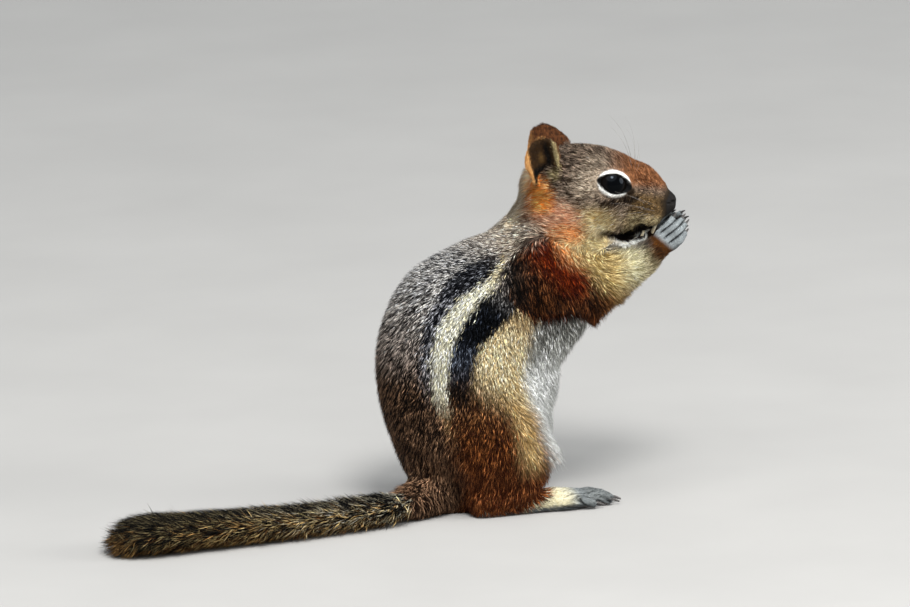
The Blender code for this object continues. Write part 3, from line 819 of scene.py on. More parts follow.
    def ear(self, points: Rows, normals: Rows) -> Rows:
        """Hues of the ears, by their cup, back and rim.

        Args:
            points: Places, as rows.
            normals: The surface's direction there.

        Returns:
            One hue for each place.
        """
        head = self.body.to_head(points)
        forward, up = self.body.round_ear(head)
        facing = normals @ self.body.head_axes.T
        facing = facing * (1, 0, 1) + facing * np.sign(head[:, 1:2]) * (0, 1, 0)
        cup = smooth(0.0, 0.3, facing @ self.body.ear_face)
        dye = Dye(points, Hue.EAR_BACK)
        dye.lay(Hue.EAR_CUP, cup)
        # painted highlight in the middle of the cup
        dye.lay(Hue.EAR_HOLLOW, cup * band(forward, -0.15, 0.12, 0.3) * band(up, 0.42, 0.10, 0.2))
        slit = band(forward, 0.30 - 0.25 * np.abs(up - 0.35), 0.16, 0.22) * smooth(0.85, 0.6, up)
        # painted shade in the ear's opening and at the bottom of its cup
        dye.lay(Hue.EAR_SLIT, cup * np.maximum(slit, smooth(0.28, 0.18, up) * (forward < 0.5)))
        dye.lay(Hue.EAR_CREAM, cup * smooth(0.55, 0.68, forward) * smooth(0.90, 0.65, up))
        dye.lay(Hue.EAR_BACK, smooth(0.78, 0.92, forward) * smooth(0.95, 0.75, up))
        edge = np.maximum(np.abs(forward), (up * 1.08) ** 2)
        outer = np.maximum(smooth(0.75, 0.90, up), smooth(0.7, 0.4, forward))
        dye.lay(Hue.EAR_RIM, 0.9 * smooth(0.80, 0.92, edge) * outer)
        dye.lay(Hue.EAR_RIM, 0.5 * (1 - cup) * smooth(-0.3, -0.9, forward))
        return dye.hues

    def paws(self, points: Rows, normals: Rows) -> Rows:
        """Hues of hands and feet.

        Args:
            points: Places, as rows.
            normals: The surface's direction there.

        Returns:
            One hue for each place.
        """
        dye = Dye(points, Hue.PAW)
        for side in SIDES:
            top = self.body.box("foot", side)[1][2]
            near = (np.sign(points[:, 1]) == side) & (points[:, 2] < top + 3)
            share = self.body.shares(points, "foot", side)[:, 0]
            dye.lay(Hue.FOOT_GREY, near * smooth(0.70, 0.80, share))
            dye.lay(Hue.ANKLE, near * smooth(0.74, 0.56, share))
            dye.lay(Hue.PAW_SHADE, near * smooth(2.8, 1.2, points[:, 2]))
        dye.lay(Hue.PAW_SHADE, 0.6 * smooth(-0.2, -0.7, normals[:, 2]))
        for side in SIDES:
            share = self.body.shares(points, "hand", side)[:, ::2].sum(1)
            hand = self.body.on_side(points, "hand", side) & (points[:, 2] > 20)
            dye.lay(Hue.WRIST, hand * smooth(0.84, 0.60, share))
        # painted shade in the gaps between fingers and toes
        dye.lay(Hue.PAW_GAP, np.where(points[:, 2] < 20, self.body.toe_gaps(points),
                                      self.body.finger_gaps(points)))
        return dye.hues

    def tail(self, points: Rows) -> Rows:
        """Hues of the tail: dark and grizzled above, with a pale fringe on both sides.

        Args:
            points: Places, as rows.

        Returns:
            One hue for each place.
        """
        share, offset, along = self.body.along_tail(points)
        across = np.cross(along, (0, 0, 1.0))
        side = np.abs((offset * across).sum(1))
        dye = Dye(points, graded(share, (0.2, Hue.TAIL_TOP), (0.55, Hue.TAIL_TOP),
                                 (0.75, Hue.TAIL_DARK), (1.0, Hue.TAIL_DARK)))
        dye.lay(Hue.TAIL_DARK, 0.75 * band(side, 1.5, 2.2, 2.0) * smooth(0.25, 0.5, share))
        fringe = smooth(2.6, 5.0, side) * smooth(2.6, -1.2, offset[:, 2])
        dye.lay(Hue.TAIL_FRINGE, fringe * smooth(1.05, 0.62, share))
        dye.lay(Hue.TAIL_UNDER, smooth(-0.5, -2.0, offset[:, 2]))
        return dye.hues

    def at(self, points: Rows, normals: Rows, family: Rows) -> Rows:
        """Hues at places on the body.

        Args:
            points: Places, as rows.
            normals: The surface's direction at each.
            family: Number of the family that each belongs to.

        Returns:
            One row for each place: base, fleck and share.
        """
        dye = Dye(points, self.trunk(points))
        ids = {member: family == member for member in Family}
        head = self.body.to_head(points)
        torso = ids[Family.TRUNK] | ids[Family.NECK] | ids[Family.HEAD]
        headward = smooth(-17.5, -13.0, head[:, 0]) * smooth(-24, -17, head[:, 2])
        dye.lay(self.head(points), headward * torso)
        arms, reach = self.mantle(points, family)
        far = smooth(52, 66, self.body.along_spine(points)[1])
        overhang = smooth(-11.5, -14.5, head[:, 2] + 0.3 * head[:, 0])
        reach = reach * far * np.where(ids[Family.HEAD], overhang, 1)
        dye.lay(arms, reach * torso)
        limb = ids[Family.UPPER_ARM] | ids[Family.FOREARM]
        armpit = ids[Family.UPPER_ARM] * smooth(19.5, 16, np.abs(points[:, 1]))
        armpit = armpit * smooth(59, 56, points[:, 2]) * smooth(66, 63, points[:, 0])
        dye.lay(arms, limb * (1 - armpit))
        for member, painter in ((Family.EAR, self.ear), (Family.HAND, self.paws), (Family.FOOT, self.paws)):
            mine = ids[member]
            dye.hues[mine] = painter(points[mine], normals[mine])
        mine = ids[Family.TAIL]
        part = Dye(points[mine], dye.hues[mine])
        part.lay(self.tail(points[mine]), smooth(0.10, 0.24, self.body.along_tail(points[mine])[0]))
        dye.hues[mine] = part.hues
        return dye.hues

    def bare(self, points: Rows, normals: Rows, family: Rows) -> tuple[Rows, Rows]:
        """Places of the skin that have no coat.

        Args:
            points: Places of the skin.
            normals: Its direction there.
            family: The family of each place.

        Returns:
            How bare each place is, and its linear colour there.
        """
        head = self.body.to_head(points)
        facing = (normals @ self.body.head_axes.T)[:, 2]
        on_head = family == Family.HEAD
        colours = np.tile(linear(self.BARE["lid"]), (len(points), 1))
        bare = np.zeros(len(points))

        def cover(mask: Rows, name: str) -> None:
            """Adds one kind of bare skin."""
            colours[:] += mask[:, None] * (linear(self.BARE[name]) - colours)
            np.maximum(bare, mask, out=bare)

        x, z = head[:, 0], head[:, 2]
        cover(on_head * smooth(1.16, 1.04, self.body.lid_share(head)), "lid")
        cover(on_head * smooth(31.9, 32.8, x - 0.25 * np.abs(z - 4.0)), "nose")
        # painted shade inside the open mouth
        cover(on_head * self.gape(head), "mouth")
        # painted shade: the notch under the ear takes the lids' black
        cover(on_head * self.ear_notch(head), "lid")
        # painted shade on the faces under the upper lip and inside the lower jaw
        upper = smooth(-0.60, -0.85, facing) * smooth(16, 18, x) * smooth(-9.8, -8.6, z)
        lower = smooth(0.55, 0.85, facing) * smooth(13, 15, x) * smooth(-6.5, -7.5, z)
        cover(on_head * np.maximum(upper, lower * (np.abs(head[:, 1]) < 4.5)), "mouth")
        foot = (family == Family.FOOT) | (family == Family.HAND)
        cover(foot * smooth(-0.75, -0.9, normals[:, 2]), "pad")
        return bare, colours


# --- lie of the coat


@dataclass(frozen=True)
class Stroke:
    """A stroke that a brush would take over the coat, from root side to tip side."""

    families: tuple[Family, ...]
    points: Rows
    depth: float
    length: float
    width: float


@dataclass
class Lie:
    """The lie of the coat: its direction, depth, length and width all over the body."""

    body: Body
    strokes: list[Stroke] = field(default_factory=list)

    def brush(self, families: tuple[Family, ...], points: list, depth: float, length: float,
              width: float) -> None:
        """Adds one stroke along points in millimetres, for the families where it counts."""
        rows = curve_through(np.array(points, float), 3 * len(points))
        self.strokes.append(Stroke(families, rows, depth, length, width))

    def brush_head(self) -> None:
        """Strokes from the nose back over the head, and up the ears."""
        face = (Family.HEAD,)
        both = (Family.HEAD, Family.NECK)
        plan = (
            (face, ((34, 0, 7), (28, 0, 11), (22, 0, 15)), 0.35, 1.3, 0.17),
            (both, ((22, 0, 15), (10, 0, 17), (0, 0, 15), (-8, 0, 10)), 0.8, 2.3, 0.22),
            (face, ((31, 3.5, 7), (25, 6, 10.5), (18, 8, 14), (8, 8.5, 15), (-2, 8.5, 12)), 0.6, 1.9, 0.20),
            (face, ((33, 3, 3), (28, 6, 3.4), (22, 9, 3)), 0.35, 1.3, 0.17),
            (face, ((22, 9, 2.5), (15, 12.5, -0.5), (7, 14.5, -2), (-2, 13.5, -2)), 0.9, 2.6, 0.23),
            (face, ((32, 3, -1), (27, 6, -3.5), (20, 9, -5)), 0.5, 1.6, 0.19),
            (both, ((20, 9.5, -5), (12, 12.8, -7), (4, 14, -9.5), (-4, 12.5, -12)), 1.3, 3.4, 0.27),
            (face, ((28, 3, -12), (20, 6, -14), (12, 8, -15.5)), 0.7, 1.9, 0.21),
            (both, ((12, 7.5, -15.5), (4, 8, -18), (-3, 8, -22)), 1.6, 3.8, 0.30),
            (face, ((9, 12.6, 8), (4, 13, 7.5), (-2, 11.5, 7)), 0.8, 2.2, 0.22),
            (both, ((-4, 11, 2), (-8, 9, -1), (-13, 7, -6)), 1.4, 3.6, 0.28),
            (both, ((-6, 5, 11), (-10, 5, 6), (-14, 4, -1)), 1.3, 3.4, 0.28),
        )
        for families, rows, depth, length, width in plan:
            for side in SIDES if max(row[1] for row in rows) else (LEFT,):
                placed = [self.body.from_head((x, y * side, z)) for x, y, z in rows]
                self.brush(families, placed, depth, length, width)
        for side in SIDES:
            base = self.body.EAR_ROOT
            tip = base + self.body.EAR_LEAN * self.body.EAR_SIZE[1]
            ends = [self.body.from_head(row * (1, side, 1)) for row in (base, (base + tip) / 2, tip)]
            self.brush((Family.EAR,), ends, 0.22, 1.25, 0.18)

    def brush_limbs(self) -> None:
        """Strokes down the arms, haunches and feet."""
        plan = (
            ("upper_arm", ((0.15, 0.2, 1.0), (0.20, 0, 0.6), (0.30, 0, 0.2)), 2.0, 4.4, 0.34),
            ("upper_arm", ((0.45, 0.3, 1.1), (0.50, 0, 0.6), (0.58, 0, 0.1)), 2.0, 4.2, 0.32),
            ("upper_arm", ((0.65, 0.3, 1.0), (0.78, 0, 0.6), (0.92, 0, 0.25)), 1.8, 4.0, 0.30),
            ("upper_arm", ((0.5, 0.9, 0.8), (0.65, 0.9, 0.5), (0.8, 0.9, 0.2)), 1.8, 4.0, 0.32),
            ("forearm", ((0.0, 0, 0.60), (0.20, 0, 0.30), (0.36, 0, 0.10)), 2.0, 3.6, 0.28),
            ("forearm", ((0.05, 0, 0.8), (0.35, 0, 0.62), (0.60, 0.2, 0.42)), 1.8, 3.4, 0.26),
            ("forearm", ((0.35, 0.3, 0.85), (0.62, 0.4, 0.80), (0.86, 0.5, 0.82)), 0.9, 2.6, 0.22),
            ("forearm", ((0.62, 0.4, 0.55), (0.80, 0.5, 0.72), (0.98, 0.6, 0.95)), 0.6, 1.9, 0.20),
            ("hand", ((0.0, 0.5, 0.0), (0.4, 0.5, 0.45), (1.0, 0.5, 1.0)), 0.12, 0.95, 0.15),
            ("thigh", ((0.22, 0.3, 1.0), (0.12, 0.2, 0.55), (0.10, 0.3, 0.15)), 2.0, 4.6, 0.34),
            ("thigh", ((0.55, 0.1, 1.0), (0.46, 0, 0.55), (0.38, 0.1, 0.15)), 2.0, 4.6, 0.34),
            ("thigh", ((0.80, 0.2, 0.95), (0.93, 0.1, 0.60), (0.98, 0.1, 0.32)), 1.9, 4.4, 0.32),
            ("thigh", ((0.72, 0.0, 0.45), (0.72, 0, 0.25), (0.66, 0.1, 0.08)), 1.7, 4.0, 0.32),
            ("foot", ((0.0, 0.5, 0.6), (0.4, 0.5, 0.7), (0.62, 0.5, 0.6)), 0.40, 1.9, 0.22),
            ("foot", ((0.62, 0.5, 0.6), (0.8, 0.5, 0.5), (1.0, 0.5, 0.3)), 0.15, 1.1, 0.17),
        )
        for stem, rows, depth, length, width in plan:
            for side in SIDES:
                placed = [self.body.limb(stem, side, row) for row in rows]
                self.brush((family_of(stem),), placed, depth, length, width)

    def brush_trunk(self) -> None:
        """Strokes down the spine and out along the tail."""
        down = self.body.spine[::-1]
        for low, high, depth, length, width in ((0, 30, 2.1, 3.5, 0.34), (24, 96, 2.3, 3.5, 0.34),
                                                (90, 119, 2.3, 3.8, 0.34)):
            self.brush((Family.TRUNK, Family.NECK), down[low:high:6], depth, length, width)
        self.brush((Family.TAIL,), self.body.tail[::8], 3.4, 7.6, 0.36)

    def solve(self, points: Rows, normals: Rows, family: Rows) -> dict:
        """The lie at places on the surface.

        Args:
            points: Places of the outer surface.
            normals: The surface's direction there.
            family: Number of the family of each place.

        Returns:
            Arrays named along, depth, length and width.
        """
        self.brush_head()
        self.brush_limbs()
        self.brush_trunk()
        along = np.zeros((len(points), 3))
        sizes = np.zeros((len(points), 3))
        for member in Family:
            mine = np.flatnonzero(family == member)
            strokes = [stroke for stroke in self.strokes if member in stroke.families]
            middles = np.vstack([(s.points[1:] + s.points[:-1]) / 2 for s in strokes])
            ways = np.vstack([unit(np.diff(s.points, axis=0)) for s in strokes])
            rows = np.vstack([np.tile((s.depth, s.length, s.width), (len(s.points) - 1, 1))
                              for s in strokes])
            for part in np.array_split(mine, max(1, len(mine) // 20000)):
                gap = ((points[part][:, None] - middles[None]) ** 2).sum(2)
                weight = 1 / (gap + 1.0) ** 2
                weight /= weight.sum(1, keepdims=True)
                along[part] = weight @ ways
                sizes[part] = weight @ rows
        self.correct(points, normals, family, along, sizes)
        return {"along": along, "depth": sizes[:, 0], "length": sizes[:, 1], "width": sizes[:, 2]}

    def correct(self, points: Rows, normals: Rows, family: Rows, along: Rows, sizes: Rows) -> None:
        """Turns the coat round the eyes, out along the tail and forwards on the belly.

        Args:
            points: Places of the outer surface.
            normals: The surface's direction there.
            family: Number of the family of each place.
            along: Direction of the coat, changed in place.
            sizes: Depth, length and width, changed in place.
        """
        depth, length, width = sizes.T
        s, angle, up = self.body.along_spine(points)
        ahead = np.stack([up[:, 2], 0 * s, -up[:, 0]], axis=1)
        trunk = (family == Family.TRUNK) | (family == Family.THIGH)
        along += (trunk * 0.55 * smooth(100, 135, angle))[:, None] * ahead
        belly = trunk * smooth(110, 140, angle)
        along -= (belly * 0.9)[:, None] * np.array((0, 0, 1))
        length *= 1 + 0.75 * belly
        tail = family == Family.TAIL
        _, offset, _ = self.body.along_tail(points)
        along += (tail * 0.38)[:, None] * unit(offset * (1, 1, 0))
        head = self.body.to_head(points)
        on_head = (family == Family.HEAD) | (family == Family.EAR)
        share = self.body.lid_share(head)
        eye_along, eye_over = self.body.round_eye(head)
        outward = unit(eye_along[:, None] * self.body.eye_along + eye_over[:, None] * self.body.eye_over)
        outward[:, 1] *= np.sign(head[:, 1])
        near = on_head * smooth(2.3, 1.1, share)
        along += (near * 1.4)[:, None] * (outward @ self.body.head_axes)
        close = on_head * smooth(1.9, 1.05, share)
        depth *= 1 - 0.9 * close
        length *= 1 - 0.62 * on_head * smooth(2.1, 1.1, share)
        width *= 1 - 0.25 * close
        lips = on_head * smooth(14, 17, head[:, 0])
        lips = lips * band(head[:, 2] - Markings.lip_line(head[:, 0]), -1.4, 1.6, 0.9)
        along -= (lips * 1.6)[:, None] * self.body.head_axes[0]
        depth *= 1 - 0.5 * lips
        length *= 1 - 0.4 * lips
        nose = on_head * smooth(29.5, 32, head[:, 0])
        depth *= 1 - 0.8 * nose
        length *= 1 - 0.3 * nose
        depth *= 1 - 0.75 * smooth(2.0, 0.4, points[:, 2]) * (family != Family.TAIL)
        along[:] = level_with(along, normals)


# --- finishes


class Shader:
    """Builds the nodes of one material."""

    def __init__(self, name: str) -> None:
        """Starts an empty material with its shader.

        Args:
            name: Name of the material.
        """
        self.material = bpy.data.materials.new(name)
        self.material.use_nodes = True
        self.tree = self.material.node_tree
        self.shader = self.tree.nodes["Principled BSDF"]

    def add(self, kind: str, **settings: object) -> Node:
        """Adds a node.

        Args:
            kind: The node's type, without its prefix.
            **settings: Properties of the node.

        Returns:
            The node.
        """
        node = self.tree.nodes.new(f"ShaderNode{kind}")
        for key, value in settings.items():
            setattr(node, key, value)
        return node

    def join(self, start: NodeSocket, end: NodeSocket) -> None:
        """Links two sockets."""
        self.tree.links.new(start, end)

    def put(self, **values: object) -> None:
        """Sets plain values on the shader; an underscore stands for a space."""
        for key, value in values.items():
            self.shader.inputs[key.replace("_", " ")].default_value = value

    def noise(self, scale: float, detail: float = 4.0) -> NodeSocket:
        """A noise that is fixed to the piece.

        Args:
            scale: Its crests in a metre.
            detail: How fine it gets.

        Returns:
            Its value, 0-1.
        """
        place = self.add("TexCoord")
        node = self.add("TexNoise")
        node.inputs["Scale"].default_value = scale
        node.inputs["Detail"].default_value = detail
        self.join(place.outputs["Object"], node.inputs["Vector"])
        return node.outputs["Fac"]

    def ranged(self, source: NodeSocket, low: float, high: float) -> NodeSocket:
        """Stretches a 0-1 value.

        Args:
            source: The value.
            low: What 0 becomes.
            high: What 1 becomes.

        Returns:
            The new value.
        """
        node = self.add("MapRange")
        node.inputs["To Min"].default_value = low
        node.inputs["To Max"].default_value = high
        self.join(source, node.inputs["Value"])
        return node.outputs["Result"]

    def ramp(self, source: NodeSocket, *stops: tuple[float, Triple]) -> NodeSocket:
        """A colour that changes with a value.

        Args:
            source: The value, 0-1.
            *stops: Two values, and the linear colour that each has.

        Returns:
            The colour.
        """
        node = self.add("ValToRGB")
        for element, (place, colour) in zip(node.color_ramp.elements, stops):
            element.position = place
            element.color = (*colour, 1)
        self.join(source, node.inputs["Fac"])
        return node.outputs["Color"]

    def paint(self, colour: NodeSocket, factor: NodeSocket | None = None) -> None:
        """Gives the surface a colour.

        Args:
            colour: The colour.
            factor: How much darker or lighter it gets, place by place.
        """
        if factor:
            node = self.add("VectorMath", operation="SCALE")
            self.join(colour, node.inputs[0])
            self.join(factor, node.inputs["Scale"])
            colour = node.outputs["Vector"]
        self.join(colour, self.shader.inputs["Base Color"])

    def bump(self, height: NodeSocket, distance: float, strength: float = 1.0) -> None:
        """Adds small relief to the surface.

        Args:
            height: Its height, 0-1.
            distance: Its depth in metres.
            strength: Share of it that shows.
        """
        node = self.add("Bump")
        node.inputs["Distance"].default_value = distance
        node.inputs["Strength"].default_value = strength
        self.join(height, node.inputs["Height"])
        self.join(node.outputs["Normal"], self.shader.inputs["Normal"])


@dataclass(frozen=True)
class CoatFinish:
    """Hair of the coat, tinted along each tuft."""

    name: str = "coat"
    roughness: float = 0.60

    def build(self) -> Material:
        """Makes the finish.

        Returns:
            The material.
        """
        s = Shader(self.name)
        tint = s.add("Attribute", attribute_name="tint")
        s.paint(tint.outputs["Color"], s.ranged(s.noise(2600.0, 3.0), 0.70, 1.30))
        s.put(Roughness=self.roughness, Specular_IOR_Level=0.08)
        return s.material


@dataclass(frozen=True)
class SkinFinish:
    """Skin with the coat's short ground hair, and bare leather where it has none."""

    name: str = "skin"

    def build(self) -> Material:
        """Makes the finish.

        Returns:
            The material.
        """
        s = Shader(self.name)
        tint = s.add("Attribute", attribute_name="tint")
        s.paint(tint.outputs["Color"], s.ranged(s.noise(1500.0, 6.0), 0.65, 1.35))
        bare = s.add("Attribute", attribute_name="bare")
        s.join(s.ranged(bare.outputs["Fac"], 0.75, 0.60), s.shader.inputs["Roughness"])
        s.put(Specular_IOR_Level=0.05)
        s.bump(s.noise(2400.0, 5.0), 0.00022, 0.8)
        return s.material


@dataclass(frozen=True)
class EyeFinish:
    """A dark wet eye with a barely lighter iris round its pupil; sizes in metres."""

    centre: Triple
    side: str
    pupil: float = 0.0026

    def build(self) -> Material:
        """Makes the finish.

        Returns:
            The material.
        """
        s = Shader(f"eye_{self.side}")
        place = s.add("TexCoord")
        away = s.add("VectorMath", operation="DISTANCE")
        away.inputs[1].default_value = self.centre
        s.join(place.outputs["Object"], away.inputs[0])
        ring = s.add("MapRange", interpolation_type="SMOOTHSTEP")
        ring.inputs["From Min"].default_value = self.pupil * 0.85
        ring.inputs["From Max"].default_value = self.pupil * 1.25
        s.join(away.outputs["Value"], ring.inputs["Value"])
        iris = s.ramp(ring.outputs["Result"], (0.0, (0.0008, 0.0008, 0.0010)),
                      (1.0, (0.0030, 0.0022, 0.0018)))
        s.paint(iris, s.ranged(s.noise(900.0, 3.0), 0.6, 1.4))
        s.put(Roughness=0.03, IOR=1.33, Specular_IOR_Level=0.12, Specular_Tint=(0.70, 0.85, 1.0, 1))
        return s.material


@dataclass(frozen=True)
class HornFinish:
    """Horn, ivory and whisker: dark and pale streaks, with so many grains in a metre."""

    name: str
    dark: Triple
    pale: Triple
    roughness: float = 0.35
    grain: float = 1800.0

    def build(self) -> Material:
        """Makes the finish.

        Returns:
            The material.
        """
        s = Shader(self.name)
        streaks = s.noise(self.grain, 4.0)
        s.paint(s.ramp(streaks, (0.35, self.dark), (0.68, self.pale)))
        s.join(s.ranged(streaks, self.roughness - 0.08, self.roughness + 0.12),
               s.shader.inputs["Roughness"])
        s.bump(streaks, 0.00004)
        return s.material


# --- skin


@dataclass
class Skin:
    """The animal's one skin, and its surface as arrays for the coat to grow on.

    Attributes:
        voxel: Size of the cells that fuse the solids to one skin.
        overlap: How far each solid grows to close the cuts.
        most: Triangles that the finished skin may have.
        lowest: Height of its soles over the floor.
        lid: How far the lids lie over the eyeballs.
    """

    body: Body
    markings: Markings
    voxel: float = 0.52
    overlap: float = 0.30
    most: int = 185000
    lowest: float = 0.12
    lid: float = 0.46
    outer: Rows = field(init=False)
    normals: Rows = field(init=False)
    faces: Rows = field(init=False)
    family: Rows = field(init=False)
    lie: dict = field(init=False)

    @staticmethod
    def flesh() -> list[str]:
        """Names of the solids that the skin stands for, in order."""
        stems = ("trunk", "neck", "head", "ear", "upper_arm", "forearm", "hand", "thigh", "foot", "tail")
        return sorted(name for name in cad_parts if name.startswith(stems))

    def fillings(self) -> list[tuple[Rows, Triple]]:
        """Places and half sizes of the soft forms in the mouth and between throat and arms.

        Returns:
            The middle and half sizes of each.
        """
        found = [(self.body.from_head((16.5, 0, -8.5)), (9.0, 3.4, 3.4)),
                 (self.body.from_head((23.5, 0, -8.2)), (8.0, 0.6, 3.2))]
        for side in SIDES:
            for shares, radii in (((0.35, 0.86, 0.93), (7, 6, 5.5)), ((0.63, 0.74, 0.85), (7, 6.5, 6)),
                                  ((1.00, 0.72, 0.72), (7.5, 6, 5))):
                found.append((self.body.limb("upper_arm", side, shares), radii))
        return found

    def gathered(self) -> Object:
        """All flesh in one mesh, each solid grown a little so that neighbours meet.

        Returns:
            The gathered flesh, not yet one skin.
        """
        joined = bmesh.new()
        for name in self.flesh() + ["eye_right", "eye_left"]:
            bm = bmesh.new()
            bm.from_mesh(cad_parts[name].data)
            bmesh.ops.remove_doubles(bm, verts=bm.verts, dist=1e-6)
            bm.normal_update()
            if not name.startswith("eye"):
                for vert in bm.verts:
                    vert.co += vert.normal * self.overlap * MM
            whole = bpy.data.meshes.new("part")
            bm.to_mesh(whole)
            bm.free()
            joined.from_mesh(whole)
            bpy.data.meshes.remove(whole)
        for centre, radii in self.fillings():
            bmesh.ops.create_icosphere(joined, subdivisions=4, radius=MM,
                                       matrix=Matrix.Translation(Vector(centre) * MM)
                                       @ Matrix.Diagonal((*radii, 1)))
        mesh = bpy.data.meshes.new("skin")
        joined.to_mesh(mesh)
        joined.free()
        return link("skin", mesh)

    def fuse(self, obj: Object) -> None:
        """Turns the gathered solids into one closed skin.

        Args:
            obj: The gathered flesh.
        """
        cells = obj.modifiers.new("fuse", "REMESH")
        cells.mode = "VOXEL"
        cells.voxel_size = self.voxel * MM
        settle(obj)

    def neighbours(self, faces: Rows) -> tuple[Rows, Rows]:
        """Ends of every edge of the skin, each way."""
        pairs = np.vstack([faces[:, (0, 1)], faces[:, (1, 2)], faces[:, (2, 0)]])
        return np.concatenate([pairs[:, 0], pairs[:, 1]]), np.concatenate([pairs[:, 1], pairs[:, 0]])

    def spread(self, rows: Rows, rounds: int, share: Rows | float = 1.0) -> Rows:
        """Evens out values over the skin.

        Args:
            rows: A value or a row for each vertex.
            rounds: How often each takes its neighbours' mean.
            share: How much of that mean it takes.

        Returns:
            The evened values.
        """
        start, end = self.edges
        count = len(self.degree)
        rows = np.array(rows, float)
        flat = rows.reshape(count, -1)
        share = np.broadcast_to(np.asarray(share, float), count)[:, None]
        for _ in range(rounds):
            mean = np.stack([np.bincount(start, column[end], count) for column in flat.T], axis=1)
            flat = flat + share * (mean / self.degree[:, None] - flat)
        return flat.reshape(rows.shape)

    def name_families(self, points: Rows) -> Rows:
        """Number of the family whose solid is nearest to each point.

        Args:
            points: Places of the skin.

        Returns:
            One number for each place.
        """
        places: list = []
        polygons: list = []
        owners: list[int] = []
        for name in self.flesh():
            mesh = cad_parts[name].data
            start = len(places)
            places += [vert.co.copy() for vert in mesh.vertices]
            polygons += [[start + index for index in face.vertices] for face in mesh.polygons]
            owners += [family_of(name).value] * len(mesh.polygons)
        tree = BVHTree.FromPolygons(places, polygons)
        return np.array([owners[tree.find_nearest(Vector(row))[2]] for row in points * MM])

    def soften(self, points: Rows) -> Rows:
        """Smooths the facets away, least on face, ears and paws.

        Args:
            points: Places of the skin.

        Returns:
            The moved places.
        """
        head = self.body.to_head(points)
        share = np.full(len(points), 0.9)
        fine = {Family.HEAD: 0.5, Family.EAR: 0.30, Family.HAND: 0.22, Family.FOOT: 0.30,
                Family.FOREARM: 0.7}
        for member, value in fine.items():
            share[self.family == member] = value
        on_head = self.family == Family.HEAD
        near_eye = on_head & (self.body.lid_share(head) < 1.25)
        share[near_eye] = 0.22
        share = self.spread(share, 4)
        crease = np.zeros(len(points))
        for centre, radii in self.fillings()[2:]:
            away = np.linalg.norm(points - centre, axis=1) / (max(radii) + 2)
            crease = np.maximum(crease, smooth(1.35, 0.9, away))
        crease *= ~np.isin(self.family, (Family.HAND, Family.EAR))
        crease *= smooth(15.5, 12.5, head[:, 0]) + smooth(-15, -18, head[:, 2])
        softened = self.spread(points, 14, share)
        softened = self.spread(softened, 60, np.clip(crease, 0, 1) * 0.9)
        return self.spread(softened, 1, -0.35 * share)

    def shape_body(self, points: Rows) -> Rows:
        """Draws in chest, nape, knees and tail tip, and lifts the arms, to the coat's outline.

        Args:
            points: Places of the skin.

        Returns:
            The moved places.
        """
        s, angle, _ = self.body.along_spine(points)
        x, z = points[:, 0], points[:, 2]
        groups = {"trunk": (Family.TRUNK, Family.THIGH), "upper": (Family.UPPER_ARM,),
                  "tail": (Family.TAIL,), "arm": (Family.UPPER_ARM, Family.FOREARM)}
        shares = {name: self.spread(np.isin(self.family, group).astype(float), 5)
                  for name, group in groups.items()}
        moved = points.copy()
        chest = 2.6 * band(z, 44, 5, 12) * smooth(100, 128, angle)
        knee = smooth(38, 50, x) * (2.6 * smooth(20, 13, z) + 2.4 * smooth(13, 6, z))
        moved[:, 0] -= shares["trunk"] * (chest + knee)
        moved[:, 0] += 3.5 * shares["tail"] * smooth(-82, -98, x)
        moved[:, 2] += 4.6 * shares["upper"] * smooth(66, 56, z) * smooth(63, 56, x)
        under_arm = smooth(75, 63, z) * smooth(63, 70, x) * smooth(89, 78, x)
        moved[:, 2] += 3.6 * shares["arm"] * under_arm
        moved[:, 2] += 1.3 * shares["arm"] * smooth(63, 57, z) * band(x, 65, 1.5, 3.5)
        nape = 1.1 * smooth(70, 45, angle) * smooth(60, 68, s) * (self.family != Family.EAR)
        nape = nape * smooth(-6, -10, self.body.to_head(points)[:, 0])
        moved += nape[:, None] * np.array((0.9, 0, -0.45))
        return moved

    def shape_ears(self, points: Rows) -> Rows:
        """Makes the ears broad and round at the top, and sets the left one a little forwards.

        Args:
            points: Places of the skin.

        Returns:
            The moved places.
        """
        head = self.body.to_head(points)
        forward, up = self.body.round_ear(head)
        part = self.spread((self.family == Family.EAR).astype(float), 4)
        front = np.interp(up, (0.15, 0.35, 0.55, 0.9), (-0.45, -0.10, 0.10, 0.30))
        front = np.where(head[:, 1] > 0, np.interp(up, (0.3, 0.5, 0.7, 0.9), (0.40, 0.20, -0.05, -0.35)),
                         front)
        spread = np.where(forward < 0, 0.22 * band(up, 0.62, 0.32, 0.42), front)
        spread = spread + (head[:, 1] > 0) * (forward < 0) * 0.30 * smooth(0.6, 0.85, up)
        wider = spread * forward * self.body.EAR_SIZE[0]
        turned = 1.3 * smooth(0.15, 0.5, up)
        wider += np.where(head[:, 1] > 0, turned, 0)
        lower = -0.5 * smooth(0.80, 1.0, up) * (1 - np.clip(forward ** 2, 0, 1))
        lower -= (head[:, 1] > 0) * 1.1 * smooth(0.6, 1.0, up)
        move = (part * wider)[:, None] * self.body.ear_front
        move += (part * lower)[:, None] * self.body.EAR_LEAN
        move[:, 1] *= np.sign(head[:, 1])
        return points + move @ self.body.head_axes

